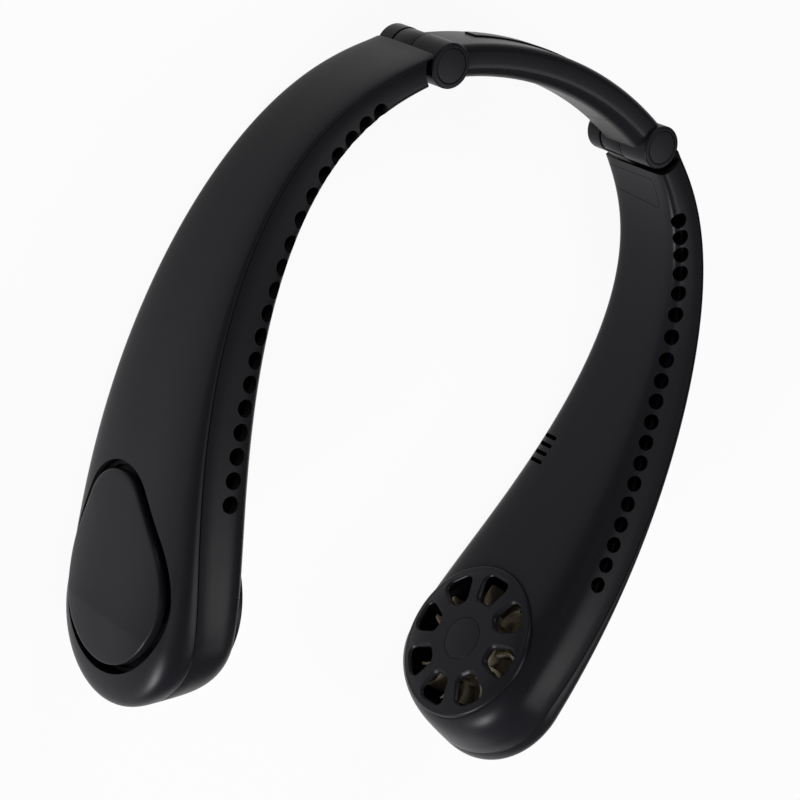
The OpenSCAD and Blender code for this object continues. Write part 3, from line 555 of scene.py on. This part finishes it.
def arm_columns(inner, s):
    """Columns (phi, inset) over the rows s: those of a shell's outside and those of its inside."""
    if inner:
        n, end, crowd, sign, base = INNER_COLUMNS, 180, INNER_CROWD, 1, SEAM
    else:
        n, end, crowd, sign, base = OUTER_COLUMNS, 0, OUTER_CROWD, -1, ON_PART
    same = 0 * s
    front = []
    for a in RIM_ANGLES:
        k = math.radians(a)
        inset = TUCK + BEVEL * (1 - math.sin(k))
        front.append((part_phi(s, inset, base + sign * BEVEL * (1 - math.cos(k))), inset + same))
    start = part_phi(s, TUCK, base + sign * BEVEL)
    front += [(lerp(end, start, (1 - j / n) ** crowd), TUCK + same) for j in range(n + 1)]
    m = len(front) - 1
    start = part_phi(s, WALL, base)
    return front, [(lerp(end, start, (1 - j / m) ** crowd), WALL + same) for j in range(m + 1)]


def arm_shell(name, inner, side):
    """One shell of an arm, and its outside alone, whose normals it takes after it is cut.

    Rows run down the upper side, round the nose and back up the lower side; columns run from the rim
    to the middle of the face, where the rows of both sides share their points."""
    body = np.linspace(INNER_FROM if inner else OUTER_FROM, ARM_LEN, BODY_ROWS)
    s = np.r_[body, np.full(NOSE_ROWS, ARM_LEN), body[::-1]]
    w = np.r_[np.zeros(BODY_ROWS), np.linspace(0, 180, NOSE_ROWS + 2)[1:-1], np.full(BODY_ROWS, 180.0)]
    front_cols, back_cols = arm_columns(inner, s)
    front = np.stack([skin(s, w, p, i) for p, i in front_cols], 1)
    back = np.stack([skin(s, w, p, i) for p, i in back_cols], 1)
    rows, cols = front.shape[:2]
    tie = [min(r, BODY_ROWS - 1) if r < BODY_ROWS + NOSE_ROWS else rows - 1 - r for r in range(rows)]
    faces, slots = [], []

    def ident(layer, r, j):
        return (layer * rows + (tie[r] if j == cols - 1 else r)) * cols + j

    def quad(corners, slot):
        q = list(dict.fromkeys(ident(*c) for c in corners))
        if len(q) > 2:
            faces.append(tuple(q if inner else q[::-1]))
            slots.append(slot)

    for r in range(rows - 1):
        for j in range(cols - 1):
            quad([(0, r, j), (0, r, j + 1), (0, r + 1, j + 1), (0, r + 1, j)], 0)
    n_front = len(faces)
    for r in range(rows - 1):
        for j in range(cols - 1):
            quad([(1, r + 1, j), (1, r + 1, j + 1), (1, r, j + 1), (1, r, j)], 1)
        quad([(0, r, 0), (0, r + 1, 0), (1, r + 1, 0), (1, r, 0)], 1)
    end = rows - 1
    for j in range(cols - 1):
        quad([(0, 0, j + 1), (0, 0, j), (1, 0, j), (1, 0, j + 1)], 1)
        quad([(0, end, j), (0, end, j + 1), (1, end, j + 1), (1, end, j)], 1)
    verts = np.concatenate([front.reshape(-1, 3), back.reshape(-1, 3)])

    def build(label, count):
        used = sorted(set(i for f in faces[:count] for i in f))
        index = {k: i for i, k in enumerate(used)}
        kept = [tuple(index[i] for i in f) for f in faces[:count]]
        return make(label, verts[used], kept, side, CASE, slots[:count])

    return build(name, len(faces)), build(name + "_source", n_front)


# ---------------------------------------------------------------- openings in the shells
PLATE_S = 3.0                       # small cover beside the hinge: corners as (s, z)
PLATE_CORNERS = ((PLATE_S, -12.6), (11.6, -12.6), (13.4, 8.2), (PLATE_S, 8.2))
PLATE_ROUND, PLATE_STEPS = 1.2, 5
PLATE_GAP, PLATE_INSET, PLATE_IN, PLATE_FLOOR, PLATE_LIFT = 0.05, 0.11, -8, -0.6, 0.02

OUTLET_COUNT, OUTLET_R, OUTLET_TILT = 19, 2.5, 58
OUTLET_FROM, OUTLET_BACK = 17.9, 35.6
OUTLET_BUNCH_SHARE, OUTLET_BUNCH_TURN = 0.017, 450
OUTLET_ROOT_SHARE, OUTLET_POD_SHARE, OUTLET_TURN_SHARE = 0.772, 0.496, 0.48
CUT_DEEP, CUT_RUN = 4, 3            # of the outlets and slots, below and above the skin

SLOT_COUNT, SLOT_BACK, SLOT_PITCH = 4, 70.1, 3.05
SLOT_W, SLOT_LONG, SLOT_ROUND, SLOT_SHARE, SLOT_LEAN = 1.3, 7, 0.6, 0.97, 105

SOCKET_BACK, SOCKET_N, SOCKET_W, SOCKET_T, SOCKET_ROUND = 22.4, 1.5, 9.1, 3.3, 1.5
SOCKET_FROM, SOCKET_TO = -2, 5

BUTTON_HOLE_R, LENS_X, LENS_HOLE_R, FACE_CUT_FROM, FACE_CUT_TO = 4.8, 7.6, 1.2, -4, 2
MOUTH_GAP, MOUTH_DEEP = 0.5, 2.3    # round the barrel, in the outer and in the inner shell


def plate_outline(gap):
    """Outline (s, z) of the cover beside the hinge, grown by a gap."""
    corners = [np.array(q) for q in PLATE_CORNERS]
    middle = np.mean(corners, axis=0)
    out = []
    for i, q in enumerate(corners):
        a, b = unit(corners[i - 1] - q), unit(corners[(i + 1) % len(corners)] - q)
        half = math.acos(float(np.dot(a, b))) / 2
        centre = q + unit(a + b) * (PLATE_ROUND / math.sin(half))
        turns = []
        for n in (np.array([a[1], -a[0]]), np.array([-b[1], b[0]])):
            n = -n if np.dot(n, q - middle) < 0 else n
            turns.append(math.degrees(math.atan2(n[1], n[0])))
        if abs(turns[1] - turns[0]) > 180:
            turns[1] += 360 if turns[1] < turns[0] else -360
        out += arc(centre, PLATE_ROUND + gap, *turns, PLATE_STEPS)
    return out


def plate_tool(gap, top):
    """Block through the inner skin under the cover beside the hinge."""
    ring = plate_outline(gap)
    return loft([moved(on_arm(PLATE_S), [(x - PLATE_S, n, z) for x, z in ring]) for n in (PLATE_IN, top)])


def outlet_tools():
    out = []
    for i in range(OUTLET_COUNT):
        t = i / (OUTLET_COUNT - 1)
        bunch = OUTLET_BUNCH_SHARE * math.sin(math.radians(min(t * OUTLET_BUNCH_TURN, 180)))
        s = lerp(OUTLET_FROM, FAN_S - OUTLET_BACK, t - bunch)
        q = lerp(OUTLET_ROOT_SHARE, OUTLET_POD_SHARE, max(t - OUTLET_TURN_SHARE, 0) / (1 - OUTLET_TURN_SHARE))
        n = float(part_n(s) - (inner_n(s) + part_n(s)) * q)
        m = on_arm(s) @ shift(0, n, side_z(s, n)) @ turn("X", 90 - OUTLET_TILT)
        out.append(place(m, rod(-CUT_DEEP, CUT_RUN, OUTLET_R, 48)))
    return out


def slot_tools():
    plan = slab(-SLOT_W / 2, SLOT_W / 2, -SLOT_LONG / 2, SLOT_LONG / 2, SLOT_ROUND, SLOT_ROUND, 5)
    out = []
    for i in range(SLOT_COUNT):
        s = FAN_S - SLOT_BACK + SLOT_PITCH * i
        n = float(lerp(part_n(s), -inner_n(s), SLOT_SHARE))
        m = on_arm(s) @ shift(0, n, -side_z(s, n)) @ turn("X", SLOT_LEAN)
        out.append(place(m, prism(plan, -CUT_DEEP, CUT_RUN)))
    return out


def socket_tool():
    s = FAN_S - SOCKET_BACK
    w, t = SOCKET_W / 2, SOCKET_T / 2
    mouth = prism(slab(-w, w, -t, t, SOCKET_ROUND, SOCKET_ROUND), SOCKET_FROM, SOCKET_TO)
    return place(on_arm(s) @ shift(0, SOCKET_N, -float(high(s))), mouth)


# ---------------------------------------------------------------- grille and teardrop cover
GRILLE_R, GRILLE_ROUND, GRILLE_STAND, GRILLE_T, GRILLE_GAP = 25, 1.05, 1.0, 1.8, 0.15
DOME, DOME_POWER, DOME_STEPS = 1.8, 5, 20
BACK_FLAT_R, SKIRT_R, BACK_LIFT, SKIRT_H = 20.9, 23.4, 0.8, 5.2
GRILLE_LOW = -float(inner_n(FAN_S)) - GRILLE_STAND
GRILLE_BACK, SKIRT_TOP = GRILLE_LOW + GRILLE_T, GRILLE_LOW + SKIRT_H
DOME_R = GRILLE_R - GRILLE_ROUND
ROUND_STEPS = 160

WINDOW_COUNT, WINDOW_FROM, WINDOW_TO, WINDOW_ROUND = 8, 12.8, 21.7, 2.3
WINDOW_NEAR, WINDOW_FAR = 2.5, 5.7                  # half widths at its two ends
WINDOW_EDGE = ((-0.3, 1.2), (0.0, 1.0), (0.3, 0.62), (0.7, 0.25), (1.1, 0.06), (1.4, 0.0))
WINDOW_OVER, WINDOW_PAST = 2, 1.5                   # the tool's reach in front and behind
BADGE_R, BADGE_SEAT_R, BADGE_DEEP, BADGE_SINK, BADGE_SOFT = 6.8, 6.95, 0.8, 0.02, 0.12

# The teardrop is an egg: a circle, and a smaller one at its tip, joined by their tangents
EGG_R, EGG_REACH, EGG_TIP, EGG_X, EGG_GAP, EGG_TURN = 26.1, 34.0, 17.0, -4.5, 2.6, -14
COVER_RISE, COVER_T, COVER_ROUND = 0.95, 2.2, 0.55
COVER_STEPS, COVER_BACK_STEPS, COVER_MIDDLE_SHARE = 26, 12, 0.02
POST_SHARES = ((0, 0.77), (0, -0.77), (-0.87, 0), (0.7, 0))      # of the grille's radius
POST_R, POST_FOOT, POST_INSET = 1.5, 12.2, 0.3


def window(d):
    """Outline of one grille window, grown by d for its rounded edge."""
    x0, x1, r = WINDOW_FROM - d, WINDOW_TO + d, WINDOW_ROUND + d
    h0, h1 = WINDOW_NEAR + d, WINDOW_FAR + d
    k = math.degrees(math.atan2(h1 - h0, x1 - x0))
    c, g = math.cos(math.radians(k)), math.tan(math.radians(k))
    far, near, n = h1 - r / c - r * g, h0 - r / c + r * g, 6
    return (arc((x1 - r, far), r, 0, 90 + k, n) + arc((x0 + r, near), r, 90 + k, 180, n)
            + arc((x0 + r, -near), r, 180, 270 - k, n) + arc((x1 - r, -far), r, 270 - k, 360, n))


def dome(r):
    """Level of the grille's domed face at a radius."""
    return GRILLE_LOW + HAIR + DOME * min(1, r / DOME_R) ** DOME_POWER


def window_tool():
    widest = WINDOW_EDGE[0][1]
    rings = [[(x, y, GRILLE_LOW - WINDOW_OVER) for x, y in window(widest)]]
    for z, d in WINDOW_EDGE:
        rings.append([(x, y, z + dome(math.hypot(x, y))) for x, y in window(d)])
    rings.append([(x, y, GRILLE_BACK + WINDOW_PAST) for x, y in window(0)])
    return loft(rings)


def grille(side):
    prof = [(0, GRILLE_BACK), (BACK_FLAT_R, GRILLE_BACK), (SKIRT_R, GRILLE_BACK + BACK_LIFT),
            (SKIRT_R, SKIRT_TOP), (GRILLE_R, SKIRT_TOP)]
    prof += arc((DOME_R, GRILLE_LOW + DOME + GRILLE_ROUND), GRILLE_ROUND, 360, 270, 8)
    for k in range(DOME_STEPS - 1, -1, -1):
        prof.append((DOME_R * k / DOME_STEPS, dome(DOME_R * k / DOME_STEPS)))
    ob = piece("grille_" + SIDE[side], place(POD, revolve(prof, ROUND_STEPS)), side, CASE)
    tools = [place(POD @ turn("Z", 360 / WINDOW_COUNT * i), window_tool()) for i in range(WINDOW_COUNT)]
    combine(ob, tools, side, "DIFFERENCE", 0)
    seat = rod(GRILLE_LOW - GRILLE_STAND, GRILLE_LOW + BADGE_DEEP, BADGE_SEAT_R, 96)
    combine(ob, [place(POD, seat)], side, "DIFFERENCE", 0)
    smooth(ob, GRILLE_CREASE)
    return ob


def badge(side):
    """Plain disc in the middle of the grille."""
    part = disc(GRILLE_LOW + BADGE_SINK, GRILLE_LOW + BADGE_DEEP, BADGE_R, BADGE_SOFT)
    ob = piece("badge_" + SIDE[side], place(POD, part), side, [SHELL])
    smooth(ob, DISC_CREASE)
    return ob


def drop(inset):
    """Teardrop outline, drawn in by an inset."""
    r, reach, tip = EGG_R - inset, EGG_REACH - inset, EGG_TIP - inset
    b = math.degrees(math.acos((r - tip) / (reach - tip)))
    a = math.radians(EGG_TURN)
    c = (EGG_X + (tip - reach) * math.cos(a), (tip - reach) * math.sin(a))
    return (arc((EGG_X, 0), r, EGG_TURN - 180 + b, EGG_TURN + 180 - b, 150)
            + arc(c, tip, EGG_TURN + 180 - b, EGG_TURN + 180 + b, 40)[1:-1])


def cover(side):
    """Teardrop cover that follows the arm's outer face, with a rolled edge, and its posts."""
    def ring(inset, k, depth, lower=0.0):
        e = np.array(drop(EGG_GAP + inset)) * k
        return np.c_[e, face_n(e[:, 0], e[:, 1], depth) - lower]

    top, under = -COVER_RISE, COVER_T - COVER_RISE
    rings = [ring(COVER_ROUND, k, top) for k in np.linspace(COVER_MIDDLE_SHARE, 1, COVER_STEPS)]
    for a in (30, 60, 90):
        c = math.radians(a)
        rings.append(ring(COVER_ROUND * (1 - math.sin(c)), 1, top, COVER_ROUND * (1 - math.cos(c))))
    rings += [ring(0, k, under) for k in np.linspace(1, COVER_MIDDLE_SHARE, COVER_BACK_STEPS)]
    ob = piece("cover_" + SIDE[side], place(POD, loft(rings)), side, CASE)
    for x, y in POST_SHARES:
        x, y = x * GRILLE_R, y * GRILLE_R
        post = rod(POST_FOOT, float(face_n(np.float64(x), np.float64(y), POST_INSET)), POST_R, 32)
        combine(ob, [place(POD @ shift(x, y, 0), post)], side, "UNION", 1)
    smooth(ob)
    return ob


def arm(side):
    tag, body = SIDE[side], "arm_" + SIDE[side]
    shell, source = arm_shell("outer_shell_" + tag, False, side)
    cuts = [place(HINGE, rod(-FAR, FAR, BARREL_R + MOUTH_GAP, 128)),
            place(POD, prism(drop(0), SKIRT_TOP, FAR))]
    if side > 0:
        face = on_face(BUTTON_S)
        cuts += [place(face, rod(FACE_CUT_FROM, FACE_CUT_TO, BUTTON_HOLE_R, 72)),
                 place(face @ shift(LENS_X, 0, 0), rod(FACE_CUT_FROM, FACE_CUT_TO, LENS_HOLE_R, 32))]
    combine(shell, cuts, side, "DIFFERENCE")
    relight(shell, source)
    put(shell, body, "arm_outer_shell_" + tag)

    shell, source = arm_shell("inner_shell_" + tag, True, side)
    plate = shell.copy()
    plate.data = shell.data.copy()
    plate.name = "hinge_cover_plate_" + tag
    bpy.context.scene.collection.objects.link(plate)
    plate_source = source.copy()
    plate_source.data = source.data.copy()
    combine(plate, [plate_tool(-PLATE_INSET, PLATE_FLOOR - PLATE_LIFT)], side, "INTERSECT")
    relight(plate, plate_source)
    put(plate, body, "hinge_cover_" + tag)

    cuts = [place(HINGE, rod(-FAR, FAR, BARREL_R + MOUTH_DEEP, 128)),
            place(POD, rod(GRILLE_LOW - GRILLE_T, SKIRT_TOP, GRILLE_R + GRILLE_GAP, ROUND_STEPS))]
    combine(shell, cuts, side, "DIFFERENCE")
    combine(shell, [plate_tool(PLATE_GAP, PLATE_FLOOR)], side, "DIFFERENCE")
    combine(shell, outlet_tools(), side, "DIFFERENCE")
    if side > 0:
        combine(shell, slot_tools() + [socket_tool()], side, "DIFFERENCE")
    relight(shell, source)
    put(shell, body, "arm_inner_shell_" + tag)

    put(cover(side), body, "intake_cover_" + tag)
    put(grille(side), body, "fan_grille_" + tag)
    put(badge(side), body, "grille_badge_" + tag)


# ---------------------------------------------------------------- band and hinges
BAND_Y = -math.sqrt(BAND_R ** 2 - HINGE_X ** 2)
BAND_HALF = math.degrees(math.asin(HINGE_X / BAND_R))
BAND_INNER_ROUND, BAND_OUTER_ROUND, BAND_STEP = 4.5, 2.2, 0.6
SPLIT_SHARE, SPLIT_GAP = 0.7, 0.12      # the inner face's pieces meet the band along SPLIT
SPLIT = BAND_R - BAND_T / 2 + BAND_INNER_ROUND * SPLIT_SHARE
MID_HALF, END_FROM, END_BACK, END_CLEAR = 20, 9, 0.2, 0.1
JOINT_TURN, JOINT_LEAN = -14.2, -15.4   # slanting joints of the end covers

BARREL_GAP, BARREL_ROUND = 0.6, 0.6
RIB_HALF = 3.2
RIB_PROFILE = ((0, -12.4), (BARREL_R, -12.4), (11, -7.25), (0, -7.25))
CAP_R, CAP_SEAT_R, CAP_T, CAP_SOFT = 4.98, 5.12, 1.4, 0.28

STRIP_IN, STRIP_OUT, STRIP_LOW, STRIP_TOP, STRIP_HALF = 114.0, 114.5, -3.5, 1.5, 15
STRIP_INNER_ROUND, STRIP_OUTER_ROUND = 0.12, 0.22

TONGUE_R, TONGUE_SOFT = 6.4, 0.15
NECK_PLAN = ((-8.28, 0), (-5.58, -5.8), (-0.1, -2.8), (0.1, -1.0), (3.2, -0.6), (3.2, 4.2), (-8.28, 4.2))
FOOT_S, FOOT_LONG, FOOT_IN, FOOT_OUT, FOOT_HALF = 3.0, 12, -0.6, 4.0, 9.5


def half_outline(points, split, outside):
    """Part of a closed outline on one side of a radius."""
    out = []
    sign = 1 if outside else -1
    for i, p in enumerate(points):
        q = points[(i + 1) % len(points)]
        a, b = sign * (p[0] - split), sign * (q[0] - split)
        if a >= 0:
            out.append(p)
        if a * b < 0:
            out.append((split, lerp(p[1], q[1], a / (a - b))))
    return out


def band_arc(outline, a0, a1):
    """Outline (radius, z) swept along the band between two angles."""
    n = max(2, int(abs(a1 - a0) / BAND_STEP))
    turns = [math.radians(lerp(a0, a1, i / n)) for i in range(n + 1)]
    return loft([[(r * math.sin(a), r * math.cos(a) + BAND_Y, z) for r, z in outline] for a in turns])


def beyond(side, gap):
    """Closed block holding everything past the slanting joint of the end cover."""
    m = shift(0, BAND_Y, 0) @ turn("Z", JOINT_TURN) @ turn("Y", JOINT_LEAN)
    return mirrored(place(m, block((gap, 0, -FAR), (BAND_R + FAR, 2 * BAND_R + FAR, FAR))), side)


def barrel(side):
    """The two knuckles of a barrel, above and below the tongue."""
    r, top, foot = BARREL_R - HAIR, TONGUE_TOP + BARREL_GAP, TONGUE_FOOT - BARREL_GAP
    rim, end = r - BARREL_ROUND, BARREL_TOP - BARREL_ROUND
    up = [(0, top), (r, top)] + arc((rim, end), BARREL_ROUND, 0, 90, 6) + [(0, BARREL_TOP)]
    down = [(0, -BARREL_TOP)] + arc((rim, -end), BARREL_ROUND, 270, 360, 6) + [(r, foot), (0, foot)]
    return [mirrored(place(HINGE, revolve(p, 128)), side) for p in (up, down)]


def band():
    section = slab(BAND_R - BAND_T / 2 + HAIR, BAND_R + BAND_T / 2 - HAIR, BAND_LOW + HAIR, BAND_TOP - HAIR,
                   BAND_INNER_ROUND, BAND_OUTER_ROUND, 9)
    shell = piece("band_shell", band_arc(half_outline(section, SPLIT, True), -BAND_HALF, BAND_HALF), 1, CASE)
    mouth = rod(TONGUE_FOOT - BARREL_GAP, TONGUE_TOP + BARREL_GAP, BARREL_R + BARREL_GAP, 96)
    combine(shell, both(place(HINGE, mouth)), 1, "DIFFERENCE")
    combine(shell, barrel(1) + barrel(-1), 1, "UNION", 0)
    m = HINGE @ turn("Z", 180 - BAND_HALF)
    rib = loft([moved(m, [(x, y, z) for x, z in RIB_PROFILE]) for y in (RIB_HALF, -RIB_HALF)])
    combine(shell, both(rib), 1, "UNION", 0)
    seats = [rod(BARREL_TOP - CAP_T, FAR, CAP_SEAT_R, 96), rod(-FAR, CAP_T - BARREL_TOP, CAP_SEAT_R, 96)]
    combine(shell, [p for seat in seats for p in both(place(HINGE, seat))], 1, "DIFFERENCE", 0)
    smooth(shell, BAND_CREASE)
    put(shell, "band", "band_outer_shell")

    inside = half_outline(section, SPLIT - SPLIT_GAP, False)
    mid = piece("band_inner_face", band_arc(inside, -MID_HALF, MID_HALF), 1, CASE)
    for s in (1, -1):
        combine(mid, [beyond(s, -SPLIT_GAP)], 1, "DIFFERENCE", 0)
    smooth(mid, BAND_CREASE)
    put(mid, "band", "band_inner_shell")
    for s in (1, -1):
        sweep = band_arc(inside, END_FROM * s, (BAND_HALF - END_BACK) * s)
        end = piece("band_end_" + SIDE[s], sweep, 1, CASE)
        combine(end, [beyond(s, 0.0)], 1, "INTERSECT", 0)
        clear = place(HINGE, rod(-FAR, FAR, BARREL_R + END_CLEAR, 128))
        combine(end, [mirrored(clear, s)], 1, "DIFFERENCE", 0)
        smooth(end, BAND_CREASE)
        put(end, "band", "band_end_cover_" + SIDE[s])

    outline = slab(STRIP_IN, STRIP_OUT, STRIP_LOW, STRIP_TOP, STRIP_INNER_ROUND, STRIP_OUTER_ROUND, 5)
    strip = piece("band_strip", band_arc(outline, -STRIP_HALF, STRIP_HALF), 1, [SHELL])
    smooth(strip, DISC_CREASE)
    put(strip, "band", "band_trim")


def hinge(side):
    tag = SIDE[side]
    floor = BARREL_TOP - CAP_T
    for z0, z1, name in ((floor, BARREL_TOP, "top_cap_"), (-BARREL_TOP, -floor, "bottom_cap_")):
        ob = piece(name + "disc_" + tag, place(HINGE, disc(z0, z1, CAP_R, CAP_SOFT)), side, [CAP])
        smooth(ob, DISC_CREASE)
        put(ob, "band", name + tag)
    rim = TONGUE_R - TONGUE_SOFT
    prof = ([(0, TONGUE_FOOT)] + arc((rim, TONGUE_FOOT + TONGUE_SOFT), TONGUE_SOFT, 270, 360, 3)
            + arc((rim, TONGUE_TOP - TONGUE_SOFT), TONGUE_SOFT, 0, 90, 3) + [(0, TONGUE_TOP)])
    ob = piece("tongue_" + tag, place(HINGE, revolve(prof, 128)), side, CASE)
    neck = prism(NECK_PLAN, TONGUE_FOOT, TONGUE_TOP)
    combine(ob, [place(on_arm(0.0), neck)], side, "UNION", 0)
    foot = block((0, FOOT_IN, -FOOT_HALF), (FOOT_LONG, FOOT_OUT, FOOT_HALF))
    combine(ob, [place(on_arm(FOOT_S), foot)], side, "UNION", 1)
    smooth(ob, TONGUE_CREASE)
    put(ob, "arm_" + tag, "hinge_tongue_" + tag)


BUTTON_R, BUTTON_TOP, BUTTON_ROUND = 4.5, 0.4, 0.35
BUTTON_FLANGE = ((0, -2.4), (5.4, -2.4), (5.4, -1.95), (BUTTON_R, -1.95))
BUTTON_DISH = ((3.2, BUTTON_TOP), (2.4, 0.3), (1.2, 0.22), (0, 0.2))


def button():
    rim = arc((BUTTON_R - BUTTON_ROUND, BUTTON_TOP - BUTTON_ROUND), BUTTON_ROUND, 0, 90, 5)
    prof = [*BUTTON_FLANGE, *rim, *BUTTON_DISH]
    ob = piece("button_top", place(on_face(BUTTON_S), revolve(prof)), 1, [GLOSS])
    smooth(ob, DISC_CREASE)
    put(ob, "power_button", "power_button")


band()
for s in (1, -1):
    hinge(s)
    arm(s)
button()

# Materials of the nodes that keep their CAD shape, by the start of their names
LOOK = {"band_loom": LEAD, "hinge_pin": STEEL, "hinge_washers": STEEL, "intake_frame": DARK,
        "fan_scroll": DARK, "motor_base": DARK, "motor_stator": COPPER, "motor_bearing": BRASS,
        # the impeller takes the cream darkened with painted shade
        "motor_shaft": STEEL, "rotor_yoke": STEEL, "impeller": SHADED_CREAM, "battery": WRAP,
        "duct_wall": DARK, "arm_screws": STEEL, "control_board": BOARD, "button_switch": STEEL,
        "led_lens": LENS, "usb_c_socket": STEEL}
for name, ob in frame["nodes"].items():
    for key, mat in LOOK.items():
        if name.startswith(key):
            ob.data.materials.clear()
            ob.data.materials.append(mat)


# ---------------------------------------------------------------- floor, lights and camera
FLOOR_HALF, FLOOR_Z = 4, -0.0002        # in metres
FLOOR_TONES = ((0.80, 0.80, 0.80), (0.84, 0.84, 0.84))
FLOOR_SCALE, FLOOR_DETAIL = 300, 2
WHITE_SHARE = 0.93                      # of the floor, where it is seen; the rest keeps the shadow
WORLD_LEVEL = 0.15


def clear_rays(t):
    """1 for the rays that see the white background: from the camera, and in gloss and glass."""
    lp = t.nodes.new("ShaderNodeLightPath")
    last = lp.outputs["Is Camera Ray"]
    for key in ("Is Glossy Ray", "Is Transmission Ray"):
        most = t.nodes.new("ShaderNodeMath")
        most.operation = "MAXIMUM"
        t.links.new(last, most.inputs[0])
        t.links.new(lp.outputs[key], most.inputs[1])
        last = most.outputs[0]
    return last


def backdrop():
    """Pale paper floor that reads white."""
    h = FLOOR_HALF
    me = bpy.data.meshes.new("floor")
    me.from_pydata([(x, y, FLOOR_Z) for x, y in ((-h, -h), (h, -h), (h, h), (-h, h))], [], [(0, 1, 2, 3)])
    ob = bpy.data.objects.new("floor", me)
    bpy.context.scene.collection.objects.link(ob)
    m, t, b = nodes_of("floor_paper")
    t.nodes.remove(b)
    co = t.nodes.new("ShaderNodeTexCoord").outputs["Object"]
    matt = t.nodes.new("ShaderNodeBsdfDiffuse")
    t.links.new(two_tone(t, noise(t, co, FLOOR_SCALE, FLOOR_DETAIL), *FLOOR_TONES), matt.inputs["Color"])
    glow = t.nodes.new("ShaderNodeEmission")
    share = t.nodes.new("ShaderNodeMath")
    share.operation = "MULTIPLY"
    share.inputs[1].default_value = WHITE_SHARE
    t.links.new(clear_rays(t), share.inputs[0])
    mix = t.nodes.new("ShaderNodeMixShader")
    t.links.new(share.outputs[0], mix.inputs["Fac"])
    t.links.new(matt.outputs[0], mix.inputs[1])
    t.links.new(glow.outputs[0], mix.inputs[2])
    t.links.new(mix.outputs[0], t.nodes["Material Output"].inputs["Surface"])
    me.materials.append(m)


def world(level):
    w = bpy.data.worlds.new("studio")
    bpy.context.scene.world = w
    w.use_nodes = True
    bg = w.node_tree.nodes["Background"]
    bg.inputs["Strength"].default_value = level
    bg.inputs["Color"].default_value = (1, 1, 1, 1)


def lamp(name, at, look, size, power):
    """Softbox of the given width and height, in metres and watts."""
    data = bpy.data.lights.new(name, "AREA")
    data.shape, data.size, data.size_y, data.energy = "RECTANGLE", size[0], size[1], power
    ob = bpy.data.objects.new(name, data)
    ob.location = at
    ob.rotation_euler = (Vector(look) - Vector(at)).to_track_quat("-Z", "Y").to_euler()
    bpy.context.scene.collection.objects.link(ob)


backdrop()
world(WORLD_LEVEL)
lamp("key", (-0.60, -1.05, 0.32), (0, -0.03, 0.02), (0.5, 0.3), 17)
lamp("hinges", (-0.15, 0.95, 0.75), (0, 0, 0.02), (0.5, 0.3), 4)
lamp("top", (0.70, -0.10, 0.95), (0, 0, 0.02), (0.35, 0.6), 4)

# The photograph's camera, solved from its outlines: place in mm, angles in degrees, lens in mm
CAM_AT = (-517.2, -8.5, 577.9)
CAM_AZ, CAM_EL, CAM_ROLL = -99.75, 48.113, 117.922
CAM_LENS, CAM_SENSOR, CAM_NEAR, CAM_FAR = 118.486, 36, 0.01, 20


def camera():
    az, el, roll = (math.radians(v) for v in (CAM_AZ, CAM_EL, CAM_ROLL))
    back = np.array([math.sin(az) * math.cos(el), -math.cos(az) * math.cos(el), math.sin(el)])
    right = unit(np.cross(-back, [0, 0, 1]))
    up = np.cross(right, -back)
    right, up = (right * math.cos(roll) + up * math.sin(roll), up * math.cos(roll) - right * math.sin(roll))
    m = Matrix.Identity(4)
    for i, d in enumerate((right, up, back)):
        d = (d[0], d[1] * COS + d[2] * SIN, d[2] * COS - d[1] * SIN)
        for k in range(3):
            m[k][i] = d[k]
    at = to_row([CAM_AT])[0]
    for k in range(3):
        m[k][3] = at[k]
    data = bpy.data.cameras.new("camera")
    data.lens, data.sensor_width, data.sensor_fit = CAM_LENS, CAM_SENSOR, "HORIZONTAL"
    data.clip_start, data.clip_end = CAM_NEAR, CAM_FAR
    ob = bpy.data.objects.new("camera", data)
    ob.matrix_world = m
    bpy.context.scene.collection.objects.link(ob)
    bpy.context.scene.camera = ob


camera()
bpy.context.scene.view_settings.view_transform = "Standard"
